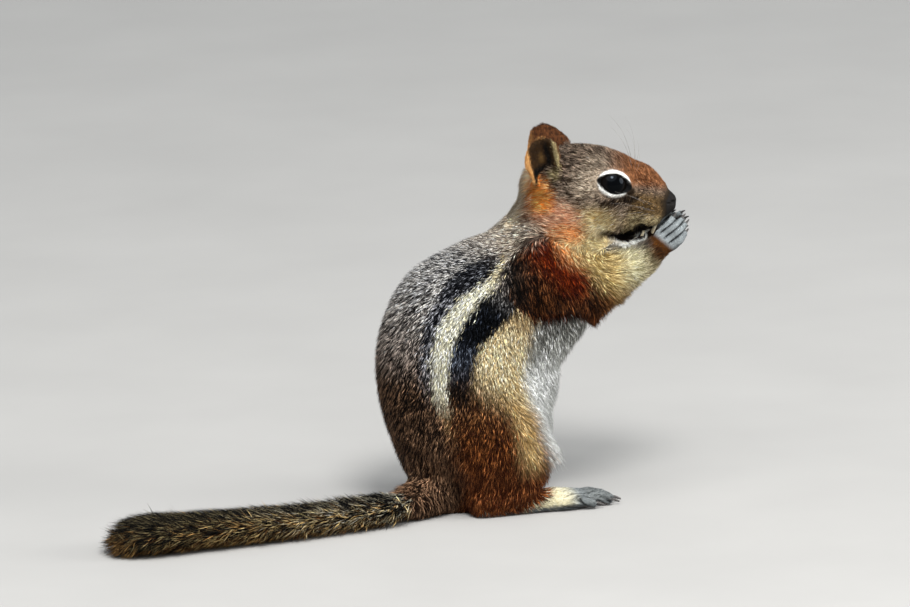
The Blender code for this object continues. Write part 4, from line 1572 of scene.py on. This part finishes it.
    def shape_face(self, points: Rows) -> Rows:
        """Narrows the end of the snout and lifts the lower lip.

        Args:
            points: Places of the skin.

        Returns:
            The moved places.
        """
        head = self.body.to_head(points)
        on_head = self.family == Family.HEAD
        x, z = head[:, 0].copy(), head[:, 2].copy()
        tip = on_head * smooth(28.0, 34.5, x) * smooth(-6, -3, z)
        head[:, 1] *= 1 - 0.18 * tip
        head[:, 2] += (3.7 - z) * 0.22 * tip
        head[:, 0] -= 0.9 * on_head * smooth(31, 36.5, x) * (z > -6)
        head[:, 2] += 0.8 * on_head * smooth(20, 26, x) * smooth(36, 33, x) * smooth(5, 8, z)
        lip = on_head * smooth(12, 17, x) * smooth(-16, -11.5, z) * smooth(-8.0, -9.2, z)
        head[:, 2] += 1.6 * lip
        over = on_head * smooth(13, 18, x) * smooth(-2.5, -5.5, z) * smooth(-8.6, -7.6, z)
        over *= 1 - 0.9 * smooth(20, 27, x)
        head[:, 2] -= 0.9 * over
        return self.body.from_head(head)

    def set_lids(self, points: Rows) -> Rows:
        """Draws the lids over the eyeballs, with an almond opening.

        Args:
            points: Places of the skin.

        Returns:
            The moved places.
        """
        head = self.body.to_head(points)
        offset = mirrored(head) - self.body.EYE_PLACE
        reach = np.maximum(np.linalg.norm(offset, axis=1), 0.1)
        share = self.body.lid_share(head)
        near = (self.family == Family.HEAD) & (offset @ self.body.EYE_LOOK > 0)
        near &= share < 1.9
        along, over = self.body.round_eye(head)
        over_ball = np.maximum(reach, self.body.EYE_RADIUS + self.lid)
        open_eye = smooth(1.05, 0.95, share) * smooth(5.3, 5.0, np.hypot(along, over))
        wanted = over_ball + open_eye * (np.minimum(reach, 5.05) - over_ball)
        scale = np.where(near, wanted / reach, 1.0)[:, None]
        moved = self.body.EYE_PLACE + offset * scale
        moved[:, 1] *= np.sign(head[:, 1])
        return np.where(near[:, None], self.body.from_head(moved), points)

    def face_relief(self, points: Rows) -> Rows:
        """Raises lids, whisker pads and lips, and sinks nostrils and folds.

        Args:
            points: Places of the skin.

        Returns:
            How far each vertex moves outwards.
        """
        head = self.body.to_head(points)
        on_head = self.family == Family.HEAD
        p = mirrored(head)
        share = self.body.lid_share(head)
        rise = 0.22 * band(share, 1.12, 0.05, 0.18) - 0.20 * band(share, 1.50, 0.08, 0.22)
        along, over = self.body.round_eye(head)
        rise += 0.16 * band(over, 4.9, 0.25, 0.8) * band(along, 0, 3.5, 2) * (share < 2.2)
        dimple = np.linalg.norm((p - (34.3, 1.75, 3.9)) / (1.2, 0.85, 0.75), axis=1)
        rise -= 0.75 * smooth(1.15, 0.35, dimple)
        slot = np.linalg.norm((p - (33.2, 2.7, 3.3)) / (1.4, 0.9, 0.42), axis=1)
        rise -= 0.35 * smooth(1.2, 0.4, slot)
        rise -= 0.32 * band(head[:, 1], 0, 0.10, 0.7) * smooth(32.5, 33.8, head[:, 0])
        rise -= 0.30 * band(head[:, 1], 0, 0.12, 0.8) * smooth(29, 31, head[:, 0]) * (p[:, 2] < 1)
        for row in range(4):
            for spot in range(4):
                place = (30.0 - 1.7 * spot, 4.6 + 0.65 * spot, 1.6 - 1.15 * row + 0.3 * spot)
                rise += 0.10 * smooth(0.9, 0.2, np.linalg.norm(p - place, axis=1))
        rise -= 1.3 * self.markings.gape(head) + 0.9 * self.markings.ear_notch(head)
        return rise * on_head

    def digit_relief(self, points: Rows) -> Rows:
        """Depth of the gaps between fingers and between toes."""
        return 0.95 * (self.body.finger_gaps(points) * (self.family == Family.HAND)
                       + self.body.toe_gaps(points) * (self.family == Family.FOOT))

    def finer(self, obj: Object) -> None:
        """Divides the skin's faces at the eyes and nose, which have the smallest forms.

        Args:
            obj: The skin.
        """
        bm = bmesh.new()
        bm.from_mesh(obj.data)
        bmesh.ops.triangulate(bm, faces=bm.faces)
        bm.verts.ensure_lookup_table()
        head = self.body.to_head(np.array([vert.co for vert in bm.verts]) / MM)
        x, y, z = head.T
        near = self.body.lid_share(head) < 1.75
        near &= (x > 6) & (x < 23) & (np.abs(z - self.body.EYE_PLACE[2]) < 6)
        near |= (x > 31.0) & (np.abs(y) < 5) & (z > -1.5)
        rows = self.body.from_head(head)
        for side in SIDES:
            for stem, behind in (("hand", 0.0), ("foot", 0.55)):
                low, high = self.body.box(stem, side)
                low = low + (high - low) * (behind, 0, 0)
                near |= ((rows > low - 0.5) & (rows < high + 0.5)).all(axis=1)
        edges = [edge for edge in bm.edges if near[edge.verts[0].index] and near[edge.verts[1].index]]
        bmesh.ops.subdivide_edges(bm, edges=edges, cuts=1, use_grid_fill=True)
        bmesh.ops.triangulate(bm, faces=bm.faces)
        bm.to_mesh(obj.data)
        bm.free()

    def build(self) -> Object:
        """Makes the skin, and keeps its surface for the coat.

        Returns:
            The skin.
        """
        obj = self.gathered()
        self.fuse(obj)
        self.finer(obj)
        points = coordinates(obj.data)
        self.faces = triangles(obj.data)
        self.edges = self.neighbours(self.faces)
        self.degree = np.maximum(np.bincount(self.edges[0], minlength=len(points)), 1)
        self.family = self.name_families(points)
        points = self.soften(points)
        points = self.shape_body(points)
        points = self.set_lids(self.shape_face(self.shape_ears(points)))
        points[:, 2] = np.maximum(points[:, 2], self.lowest)
        normals = vertex_normals(points, self.faces)
        even = unit(self.spread(normals, 6))
        lie = Lie(self.body).solve(points, even, self.family)
        for key, rounds in (("along", 22), ("depth", 16), ("length", 10), ("width", 10)):
            lie[key] = self.spread(lie[key], rounds)
        lie["along"] = unit(level_with(lie["along"], even))
        self.lie = lie
        self.outer = points.copy()
        inner = points - even * lie["depth"][:, None]
        inner = self.spread(inner, 3, np.clip(lie["depth"] / 2.0, 0, 1) * 0.8)
        inner[:, 2] = np.maximum(inner[:, 2], self.lowest)
        normals = vertex_normals(inner, self.faces)
        inner += normals * self.face_relief(inner)[:, None]
        inner -= normals * self.digit_relief(inner)[:, None]
        inner = self.set_lids(inner)
        inner[:, 2] = np.maximum(inner[:, 2], self.lowest)
        self.points = inner
        self.normals = vertex_normals(inner, self.faces)
        obj.data.vertices.foreach_set("co", (inner * MM).astype(np.float32).ravel())
        obj.data.update()
        self.thin(obj)
        self.dress(obj)
        return obj

    def thin(self, obj: Object) -> None:
        """Takes faces away from the body under the coat until the skin is light enough.

        Args:
            obj: The skin.
        """
        group = obj.vertex_groups.new(name="body")
        fine = (Family.HEAD, Family.EAR, Family.HAND, Family.FOOT)
        plain = np.flatnonzero(~np.isin(self.family, fine))
        group.add([int(index) for index in plain], 1.0, "REPLACE")
        few = obj.modifiers.new("few", "DECIMATE")
        few.ratio = min(1.0, self.most / len(self.faces))
        few.vertex_group = "body"
        few.vertex_group_factor = 4.0
        settle(obj)
        obj.data.name = "skin"

    def dress(self, obj: Object) -> None:
        """Gives the skin its markings, material and place in the model.

        Args:
            obj: The skin.
        """
        mesh = obj.data
        points = coordinates(mesh)
        normals = vertex_normals(points, triangles(mesh))
        family = self.name_families(points + normals * 0.4)
        hues = self.markings.at(points, normals, family)
        tint = hues[:, :3] + hues[:, 6:7] * (hues[:, 3:6] - hues[:, :3])
        bare, bare_tint = self.markings.bare(points, normals, family)
        short = np.isin(family, (Family.HAND, Family.FOOT, Family.EAR))
        ring = (family == Family.HEAD) & (self.body.lid_share(self.body.to_head(points)) < 1.8)
        # painted shade: the skin under the coat is darkened so that the gaps between tufts look deep; less
        # on paws, ears and round the eyes, and less under pale coat
        shade = np.where(short | ring, 0.75, np.clip(0.42 + 0.6 * tint.mean(1), 0, 0.85))[:, None]
        tint = tint * shade
        tint += bare[:, None] * (bare_tint - tint)
        write_tint(mesh, tint)
        layer = mesh.attributes.new("bare", "FLOAT", "POINT")
        layer.data.foreach_set("value", bare.astype(np.float32))
        mesh.polygons.foreach_set("use_smooth", np.ones(len(mesh.polygons), bool))
        mesh.materials.clear()
        mesh.materials.append(SkinFinish().build())
        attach(obj, "root")
        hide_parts(*self.flesh())
        report(obj)


def write_tint(mesh: Mesh, colours: Rows) -> None:
    """Stores a linear colour on each vertex.

    Args:
        mesh: The mesh.
        colours: Its colours, as rows.
    """
    layer = mesh.color_attributes.new("tint", "FLOAT_COLOR", "POINT")
    rgba = np.ones((len(colours), 4), np.float32)
    rgba[:, :3] = np.clip(colours, 0, 1)
    layer.data.foreach_set("color", rgba.ravel())


# --- coat


@dataclass(frozen=True)
class TuftKind:
    """Shape of a kind of tuft.

    Attributes:
        rings: Places of its rings along it, from 0 at the root.
        width: Its width, as a share of the coat's.
        length: Its length, as a share of the coat's.
        flat: Its thickness, as a share of its width.
        lift: How far its tip stands, as a share of the coat's depth.
    """

    rings: tuple[float, ...]
    width: float
    length: float
    flat: float
    lift: float

    def template(self) -> tuple[Rows, Rows, Rows]:
        """A tuft one unit long, from a three-sided spike cut across at its rings.

        Returns:
            Rows of place along, turn round its axis and share of its width; the triangles;
            and the place of each row in its patch of the map.
        """
        bm = bmesh.new()
        bmesh.ops.create_cone(bm, cap_ends=True, segments=3, radius1=0.5,
                              radius2=0.0, depth=1.0,
                              matrix=Matrix.Translation((0, 0, 0.5)))
        bmesh.ops.remove_doubles(bm, verts=bm.verts, dist=1e-5)
        for ring in self.rings[1:]:
            bmesh.ops.bisect_plane(bm, geom=bm.verts[:] + bm.edges[:] + bm.faces[:],
                                   plane_co=(0, 0, ring), plane_no=(0, 0, 1))
        bmesh.ops.triangulate(bm, faces=bm.faces)
        bmesh.ops.recalc_face_normals(bm, faces=bm.faces)
        bm.verts.ensure_lookup_table()
        rows = np.array([(vert.co.z, math.atan2(vert.co.y, vert.co.x)) for vert in bm.verts])
        faces = np.array([[vert.index for vert in face.verts] for face in bm.faces])
        bm.free()
        widths = np.where(rows[:, 0] > 0.99, 0.0, 1 - 0.42 * rows[:, 0])
        turn = rows[:, 1] / (2 * math.pi) % 1.0
        patch = np.stack([0.15 + 0.7 * turn, rows[:, 0] - 0.2 * (np.abs(turn - 0.5) < 0.2)
                          * (rows[:, 0] < 0.01)], axis=1)
        return np.column_stack([rows, widths]), faces, patch


class Layer(Enum):
    """Bent tufts that cover the skin, long fine hairs over them, and short straight hairs."""

    UNDER = TuftKind((0.0, 0.58), 1.10, 1.00, 0.45, 0.95)
    GUARD = TuftKind((0.0,), 0.62, 1.05, 0.60, 1.06)
    SHORT = TuftKind((0.0,), 0.92, 1.00, 0.50, 1.00)


@dataclass(frozen=True)
class Sowing:
    """Where tufts of one kind are sown, and how many."""

    layer: Layer
    families: tuple[Family, ...]
    count: int
    side: int = 0


@dataclass(frozen=True)
class CoatPlan:
    """One piece of the coat.

    Attributes:
        name: Name of the piece.
        slot: Name of a slot; not used.
        sowings: What is sown on it.
        dark_roots: How much darker the root of a tuft is than its middle.
        ripple: How far the hairs wander from the lie, in radians.
    """

    name: str
    slot: str
    sowings: tuple[Sowing, ...]
    dark_roots: float = 0.45
    ripple: float = 0.16


BODY = (Family.TRUNK,)
MANTLE = (Family.NECK, Family.UPPER_ARM)
PAWS = (Family.HAND, Family.FOOT)
PLANS = (
    CoatPlan("coat_right_side", "fur", (Sowing(Layer.UNDER, BODY, 18200, RIGHT),)),
    CoatPlan("coat_left_side", "fur", (Sowing(Layer.UNDER, BODY, 18200, LEFT),)),
    CoatPlan("coat_guard_hairs", "fur", (Sowing(Layer.GUARD, BODY, 47000),)),
    CoatPlan("coat_head", "fur", (Sowing(Layer.SHORT, (Family.HEAD,), 48500),), 0.55),
    CoatPlan("coat_mantle", "fur", (Sowing(Layer.UNDER, MANTLE, 9500),
                                    Sowing(Layer.GUARD, MANTLE, 23000))),
    CoatPlan("coat_haunches", "fur", (Sowing(Layer.UNDER, (Family.THIGH,), 9500),
                                      Sowing(Layer.GUARD, (Family.THIGH,), 22000))),
    CoatPlan("coat_tail", "tail_fur", (Sowing(Layer.UNDER, (Family.TAIL,), 12500),
                                       Sowing(Layer.GUARD, (Family.TAIL,), 15000)), 0.6, 0.24),
    CoatPlan("coat_paws_and_ears", "paw", (Sowing(Layer.SHORT, (Family.FOREARM,), 20000),
                                           Sowing(Layer.SHORT, (Family.EAR,), 11000),
                                           Sowing(Layer.SHORT, PAWS, 14000)), 0.6),
)


class Fleece:
    """Sows the coat over the skin and makes its pieces.

    Attributes:
        PATCH: Size of a tuft's patch on the map.
        GATHER: Width of the locks whose tips lean together.
        LOCK: Width of the smaller locks that share a hue and a brightness.
    """

    PATCH = 0.003
    GATHER = 1.5
    LOCK = 0.62

    def __init__(self, skin: Skin) -> None:
        """Keeps the skin, and measures its triangles.

        Args:
            skin: The skin that the coat grows on.
        """
        self.skin = skin
        self.body = skin.body
        self.rng = np.random.default_rng(11)
        self.areas = np.linalg.norm(crosses(skin.points, skin.faces), axis=1) / 2
        self.face_family = skin.family[skin.faces[:, 0]]
        self.middles = skin.points[skin.faces].mean(1)
        bare, _ = skin.markings.bare(skin.points, skin.normals, skin.family)
        self.bald = bare[skin.faces].max(1) > 0.5
        low = (self.middles[:, 2] < 0.5) & (skin.normals[skin.faces[:, 0], 2] < -0.8)
        self.bald |= low & (self.face_family != Family.TAIL)

    def sow(self, sowing: Sowing) -> dict:
        """Spreads roots evenly over the skin.

        Args:
            sowing: What is sown and where.

        Returns:
            Arrays of root places, normals, families and the lie there.
        """
        keep = np.isin(self.face_family, sowing.families) & ~self.bald
        if sowing.side:
            keep &= np.sign(self.middles[:, 1] + 1e-6) == sowing.side
        chosen = np.flatnonzero(keep)
        reach = np.cumsum(self.areas[chosen])
        picks = np.sort(self.rng.uniform(0, reach[-1], sowing.count * 4))
        index = chosen[np.minimum(np.searchsorted(reach, picks), len(chosen) - 1)]
        shares = self.rng.dirichlet((1, 1, 1), len(index))
        corners = self.skin.faces[index]
        points = (self.skin.points[corners] * shares[:, :, None]).sum(1)
        order = self.rng.permutation(len(points))
        cell = math.sqrt(reach[-1] / sowing.count) * 1.08
        kept = order
        for _ in range(4):
            kept = order[np.unique(cells(points[order], cell), return_index=True)[1]]
            if abs(len(kept) / sowing.count - 1) < 0.03:
                break
            cell *= math.sqrt(len(kept) / sowing.count)
        kept = self.rng.permutation(kept)[:sowing.count]
        corners, shares = corners[kept], shares[kept][:, :, None]

        def mixed(rows: Rows) -> Rows:
            """Values at the roots, from those at the skin's vertices."""
            return (rows.reshape(len(rows), -1)[corners] * shares).sum(1)

        lie = self.skin.lie
        return {"points": points[kept], "normals": unit(mixed(self.skin.normals)),
                "outer": mixed(self.skin.outer), "along": unit(mixed(lie["along"])),
                "depth": mixed(lie["depth"])[:, 0], "length": mixed(lie["length"])[:, 0],
                "width": mixed(lie["width"])[:, 0], "family": self.skin.family[corners[:, 0]]}

    def unwrapped(self, roots: dict) -> Rows:
        """Places of roots on an unwrap of the skin, from 0 to 1.

        Args:
            roots: The roots.

        Returns:
            Their places on the map.
        """
        points, family = roots["points"], roots["family"]
        s, angle, _ = self.body.along_spine(points)
        found = np.stack([0.5 + np.sign(points[:, 1]) * angle / 370, s / 112], axis=1)
        head = self.body.to_head(points)
        turn = turn_of(head[:, 1], head[:, 2] - 1)
        on_head = np.isin(family, (Family.HEAD, Family.EAR))
        found[on_head] = np.stack([turn, (head[:, 0] + 14) / 52], axis=1)[on_head]
        share, offset, along = self.body.along_tail(points)
        across = (offset * np.cross(along, (0, 0, 1.0))).sum(1)
        turn = turn_of(across, offset[:, 2])
        tail = family == Family.TAIL
        found[tail] = np.stack([turn, share], axis=1)[tail]
        tile = 0
        for stem in ("upper_arm", "forearm", "hand", "thigh", "foot"):
            for side in SIDES:
                mine = (family == family_of(stem)) & (np.sign(points[:, 1] + 2) == side)
                share = self.body.shares(points[mine], stem, side)
                turn = turn_of(share[:, 1] - 0.5, share[:, 2] - 0.5)
                place = np.stack([turn, share[:, 0]], axis=1)
                found[mine] = (place * 0.46 + np.array((tile % 2, tile // 2 % 2))) / 2 + 0.01
                tile += 1
        return np.clip(found, 0, 1) * (0.98 - 2 * self.PATCH) + 0.01

    def shape(self, roots: dict, kind: TuftKind, ripple: float, rows: Rows) -> tuple[Rows, Rows]:
        """Bends a tuft out of the skin at each root.

        Args:
            roots: The roots.
            kind: The kind of tuft.
            ripple: How far hairs wander from the lie, in radians.
            rows: The tuft's template.

        Returns:
            Places of all vertices, by tuft and row, and a random number for each tuft.
        """
        count = len(roots["points"])
        rng = self.rng
        normal, along = roots["normals"], roots["along"]
        along = unit(level_with(along, normal))
        across = np.cross(normal, along)
        turn = ripple * ripples(roots["points"], 3.4, 5) * 1.3 + rng.normal(0, ripple, count)
        along = along * np.cos(turn)[:, None] + across * np.sin(turn)[:, None]
        across = np.cross(normal, along)
        length = roots["length"] * kind.length * rng.uniform(0.72, 1.22, count)
        rise = roots["depth"] * kind.lift * rng.uniform(0.65, 1.2, count)
        lean = np.arcsin(np.clip((rise + 0.22) / length, 0.05, 0.72))
        start, end = lean * 1.5, lean * 0.5
        width = roots["width"] * kind.width * rng.uniform(0.75, 1.25, count)
        t = rows[None, :, 0]
        swing = start[:, None] + (end - start)[:, None] * t
        scale = (length / (end - start))[:, None]
        out = scale * (np.sin(swing) - np.sin(start)[:, None])
        over = scale * (np.cos(start)[:, None] - np.cos(swing))
        bend = rng.normal(0, 0.10, count)[:, None] * length[:, None] * t ** 2
        size = width[:, None] * rows[None, :, 2] * 0.5
        spin = rows[None, :, 1] + rng.uniform(0, 6.28, count)[:, None]
        wide = size * np.cos(spin)
        thick = size * np.sin(spin) * kind.flat
        sunk = (over + thick * np.cos(swing) - 0.16)[:, :, None]
        places = (roots["points"][:, None] + along[:, None] * (out - thick * np.sin(swing))[:, :, None]
                  + normal[:, None] * sunk + across[:, None] * (bend + wide)[:, :, None])
        places += self.gathering(roots["points"])[:, None] * (t ** 1.5)[:, :, None]
        return places, rng.uniform(0, 1, count)

    def gathering(self, points: Rows) -> Rows:
        """How far tips lean towards the middle of their lock.

        Args:
            points: Roots of the hairs.

        Returns:
            A move for the tip of each.
        """
        _, lock = np.unique(cells(points, self.GATHER), return_inverse=True)
        counts = np.bincount(lock)
        means = np.stack([np.bincount(lock, points[:, k]) / counts for k in range(3)], axis=1)
        return (means[lock] - points) * 0.45

    def locks(self, points: Rows) -> tuple[Rows, Rows]:
        """A number and a brightness that neighbouring hairs share.

        Args:
            points: Roots of the hairs.

        Returns:
            A number from 0 to 1, and a brightness round 1, for each root.
        """
        key = cells(points, self.LOCK)
        share, other = ((key * factor % WRAP) / WRAP for factor in LOCK_FACTORS)
        return share, 0.66 + 0.68 * other

    def tints(self, roots: dict, rows: Rows, chance: Rows, dark_roots: float) -> Rows:
        """Colours of all vertices: dark roots, and some hairs flecked.

        Args:
            roots: The roots.
            rows: The tuft's template.
            chance: A random number for each tuft.
            dark_roots: Brightness of a root against the middle.

        Returns:
            Linear colours, by tuft and row.
        """
        rng = self.rng
        count = len(chance)
        place = roots["points"] + rng.normal(0, 1, (count, 3)) * (0.10 + 0.16 * roots["length"])[:, None]
        place += roots["along"] * (0.55 * roots["length"])[:, None]
        hues = self.skin.markings.at(place, roots["normals"], roots["family"])
        lock, brightness = self.locks(roots["points"])
        chance = np.where(rng.uniform(size=count) < 0.5, lock, chance)
        flecked = chance < hues[:, 6]
        tint = np.where(flecked[:, None], hues[:, 3:6], hues[:, :3])
        tint *= (brightness * rng.lognormal(0, 0.24, count))[:, None]
        t = rows[None, :, 0, None]
        pale = np.clip(tint.mean(1), 0, 1)[:, None, None]
        dark = np.clip(dark_roots + 0.5 * pale, 0, 0.9)
        shade = dark + (1 - dark) * smooth(0.0, 0.5, t)
        change = np.where(flecked, rng.choice((-0.60, -0.2, 0.15), count),
                          rng.choice((-0.40, -0.1, 0.35), count))
        tip = 1 + change[:, None, None] * smooth(0.55, 1.0, t)
        return tint[:, None, :] * shade * tip

    def make(self, plan: CoatPlan, material: Material) -> Object:
        """Makes one piece of the coat.

        Args:
            plan: What the piece holds.
            material: Its finish.

        Returns:
            The piece.
        """
        stacks: tuple[list[Rows], ...] = ([], [], [], [])
        start = 0
        for sowing in plan.sowings:
            kind = sowing.layer.value
            rows, faces, patch = kind.template()
            roots = self.sow(sowing)
            places, chance = self.shape(roots, kind, plan.ripple, rows)
            places[:, :, 2] = np.maximum(places[:, :, 2], 0.05 + 0.04 * rows[None, :, 0])
            steps = start + np.arange(len(places))[:, None, None] * len(rows)
            tints = self.tints(roots, rows, chance, plan.dark_roots)
            spots = self.unwrapped(roots)[:, None] + patch[None] * self.PATCH
            for stack, found in zip(stacks, (places, steps + faces[None], tints, spots)):
                stack.append(found.reshape(-1, found.shape[-1]))
            start += len(places) * len(rows)
        places, faces, tints, spots = (np.vstack(stack) for stack in stacks)
        corners = faces.astype(np.int32).ravel()
        mesh = bpy.data.meshes.new(plan.name)
        mesh.vertices.add(start)
        mesh.vertices.foreach_set("co", (places * MM).astype(np.float32).ravel())
        mesh.loops.add(len(corners))
        mesh.loops.foreach_set("vertex_index", corners)
        mesh.polygons.add(len(faces))
        mesh.polygons.foreach_set("loop_start", np.arange(0, len(corners), 3, dtype=np.int32))
        mesh.polygons.foreach_set("use_smooth", np.ones(len(faces), bool))
        mesh.update(calc_edges=True)
        layer = mesh.uv_layers.new(name="OFBake")
        layer.data.foreach_set("uv", spots[corners].astype(np.float32).ravel())
        write_tint(mesh, tints)
        mesh.materials.append(material)
        piece = link(plan.name, mesh)
        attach(piece, "root")
        report(piece)
        return piece


# --- eyes, whiskers, claws


@dataclass(frozen=True)
class Eye:
    """One eyeball with a slightly raised cornea."""

    body: Body
    side: int
    cornea: float = 0.22

    def build(self) -> Object:
        """Makes and dresses the eye.

        Returns:
            The eye.
        """
        name = SIDE_NAMES[self.side]
        centre = self.body.centre("eye", self.side)
        look = unit((self.body.EYE_LOOK * (1, self.side, 1)) @ self.body.head_axes)
        bm = bmesh.new()
        bmesh.ops.create_icosphere(bm, subdivisions=5, radius=self.body.EYE_RADIUS)
        for vert in bm.verts:
            facing = vert.co.normalized().dot(Vector(look))
            vert.co += vert.co.normalized() * self.cornea * float(smooth(0.55, 1.0, facing))
        bm.transform(Matrix.Translation(centre))
        piece = from_bmesh(f"eyeball_{name}", bm)
        pupil = (centre + look * (self.body.EYE_RADIUS + self.cornea)) * MM
        piece.data.materials.append(EyeFinish(tuple(pupil), name).build())
        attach(piece, "root")
        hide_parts(f"eye_{name}")
        report(piece)
        return piece


@dataclass(frozen=True)
class Whiskers:
    """The stiff hairs of muzzle and brows."""

    body: Body
    root_radius: float = 0.05
    steps: int = 7
    taper: float = 0.80

    def plans(self) -> list[tuple[tuple, tuple, float]]:
        """Root, direction and length of the whiskers of the left side, in the head's frame.

        Returns:
            One row for each whisker.
        """
        found = []
        for row in range(3):
            for spot in range(3):
                root = (30.0 - 1.7 * spot, 4.4 + 0.65 * spot, 1.6 - 1.15 * row + 0.3 * spot)
                way = (-0.35 - 0.16 * spot, 0.85, 0.42 - 0.24 * row)
                found.append((root, way, 9.0 + 3.2 * spot))
        found.append(((19.5, 7.2, 13.2), (-0.42, 0.10, 0.95), 15.0))
        found.append(((20.6, 6.6, 12.6), (-0.12, 0.12, 1.0), 14.0))
        found.append(((21.3, 6.2, 12.0), (0.15, 0.20, 0.95), 7.0))
        found.append(((8.5, 13.0, -3.0), (-0.5, 0.8, -0.35), 9.0))
        return found

    def build(self) -> Object:
        """Makes and dresses all whiskers as one piece.

        Returns:
            The whiskers.
        """
        joined = bmesh.new()
        for side in SIDES:
            for root, way, length in self.plans():
                self.grow(joined, np.array(root) * (1, side, 1), np.array(way) * (1, side, 1), length)
        piece = from_bmesh("whiskers", joined)
        finish = HornFinish("whisker", (0.05, 0.045, 0.04), (0.30, 0.27, 0.24), 0.4, 900.0)
        piece.data.materials.append(finish.build())
        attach(piece, "root")
        report(piece)
        return piece

    def grow(self, bm: bmesh.types.BMesh, root: Rows, way: Rows, length: float) -> None:
        """Adds one whisker, extruded from a small square and bent back as it grows.

        Args:
            bm: Where it is added.
            root: Its root in the head's frame.
            way: Its direction at the root.
            length: Its length.
        """
        ring = bmesh.ops.create_circle(bm, segments=4, radius=self.root_radius, cap_ends=True)
        verts = ring["verts"]
        facing = Vector(unit(way)).to_track_quat("Z", "Y").to_matrix().to_4x4()
        into = Matrix([[*column, 0] for column in self.body.head_axes.T] + [[0, 0, 0, 1]])
        place = Matrix.Translation(self.body.from_head(root)) @ into @ facing
        bmesh.ops.transform(bm, matrix=place, verts=verts)
        heading = Vector(unit(way) @ self.body.head_axes)
        sweep = Vector(-self.body.head_axes[0]) * 0.10 - Vector((0, 0, 0.02))
        cap = [face for face in verts[0].link_faces if len(face.verts) == 4][:1]
        for step in range(self.steps):
            grown = bmesh.ops.extrude_face_region(bm, geom=cap)
            if step:
                bmesh.ops.delete(bm, geom=cap, context="FACES_ONLY")
            verts = [item for item in grown["geom"] if isinstance(item, bmesh.types.BMVert)]
            cap = [item for item in grown["geom"] if isinstance(item, bmesh.types.BMFace)]
            heading = (heading + sweep * (0.3 + 0.25 * step)).normalized()
            bmesh.ops.translate(bm, verts=verts, vec=heading * length / self.steps)
            middle = sum((vert.co for vert in verts), Vector()) / len(verts)
            after = 1 - self.taper * (step + 1) / self.steps
            before = 1 - self.taper * step / self.steps
            for vert in verts:
                vert.co = middle + (vert.co - middle) * (after / before)


class Hard:
    """The claws and teeth, which keep their solids and get better finishes."""

    CLAW = HornFinish("claw_horn", (0.014, 0.012, 0.011), (0.085, 0.075, 0.068), 0.48, 2600.0)
    TOOTH = HornFinish("tooth_ivory", (0.62, 0.50, 0.30), (0.84, 0.76, 0.58), 0.28, 1500.0)

    def dress(self) -> None:
        """Puts the finishes on the solids."""
        claw, tooth = self.CLAW.build(), self.TOOTH.build()
        count = 0
        for name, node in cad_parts.items():
            finish = claw if "claw" in name else tooth if "incisor" in name else None
            if finish is None:
                continue
            node.data.materials.clear()
            node.data.materials.append(finish)
            count += 1
        LOG.info("claws and teeth: %d pieces", count)


# --- studio


@dataclass(frozen=True)
class Studio:
    """Floor, light and camera, with angles in degrees, distances in metres and lens in millimetres."""

    azimuth: float = -20.0
    elevation: float = 12.5
    roll: float = -1.8
    distance: float = 4.701
    lens: float = 600.0
    aim: Triple = (0.0300, 0.0146, 0.0022)

    def floor(self) -> None:
        """A plain pale floor."""
        bm = bmesh.new()
        bmesh.ops.create_grid(bm, x_segments=8, y_segments=8, size=6000)
        plane = from_bmesh("floor", bm)
        s = Shader("floor")
        s.paint(s.ramp(s.noise(14.0, 3.0), (0.0, (0.285, 0.277, 0.263)), (1.0, (0.335, 0.325, 0.309))))
        s.put(Roughness=0.9)
        plane.data.materials.append(s.material)

    def light(self) -> None:
        """A small bright and a broad soft light overhead, a weak one in front and an even sky."""
        world = bpy.data.worlds.new("sky")
        world.use_nodes = True
        sky = world.node_tree.nodes["Background"].inputs
        sky["Color"].default_value = (0.86, 0.93, 1.0, 1)
        sky["Strength"].default_value = 0.60
        bpy.context.scene.world = world
        for name, place, size, power in (("key", (-0.12, -1.12, 1.52), 0.55, 36.0),
                                         ("soft", (-0.25, -0.95, 1.65), 2.6, 50.0),
                                         ("fill", (1.5, -0.9, 0.5), 1.0, 24.0)):
            lamp = bpy.data.lights.new(name, "AREA")
            lamp.shape = "DISK"
            lamp.size = size
            lamp.energy = power
            holder = link(name, lamp)
            holder.location = place
            way = Vector((0.03, 0, 0.06)) - Vector(place)
            holder.rotation_euler = way.to_track_quat("-Z", "Y").to_euler()

    def camera(self) -> None:
        """The camera, aimed a little ahead of and above the middle of the model."""
        low, high = CAD_BOX
        target = (low + high) / 2 + Vector(self.aim)
        azimuth, elevation = math.radians(self.azimuth), math.radians(self.elevation)
        back = Vector((math.sin(azimuth) * math.cos(elevation),
                       -math.cos(azimuth) * math.cos(elevation), math.sin(elevation)))
        lens = bpy.data.cameras.new("camera")
        lens.lens = self.lens
        lens.sensor_width = 36
        lens.clip_start, lens.clip_end = 0.05, 60
        holder = link("camera", lens)
        turn = (-back).to_track_quat("-Z", "Y").to_matrix().to_4x4()
        holder.matrix_world = (Matrix.Translation(target + back * self.distance) @ turn
                               @ Matrix.Rotation(math.radians(self.roll), 4, "Z"))
        bpy.context.scene.camera = holder

    def build(self) -> None:
        """Sets up the whole studio."""
        self.floor()
        self.light()
        self.camera()
        bpy.context.scene.view_settings.view_transform = "Standard"
        LOG.info("studio ready")


def main() -> None:
    """Builds the squirrel and its studio."""
    logging.basicConfig(level=logging.INFO, format="%(name)s %(message)s")
    Studio().build()
    body = Body()
    skin = Skin(body, Markings(body))
    skin.build()
    for side in SIDES:
        Eye(body, side).build()
    Whiskers(body).build()
    Hard().dress()
    fleece = Fleece(skin)
    finish = CoatFinish().build()
    for plan in PLANS:
        fleece.make(plan, finish)


if __name__ == "__main__":
    main()
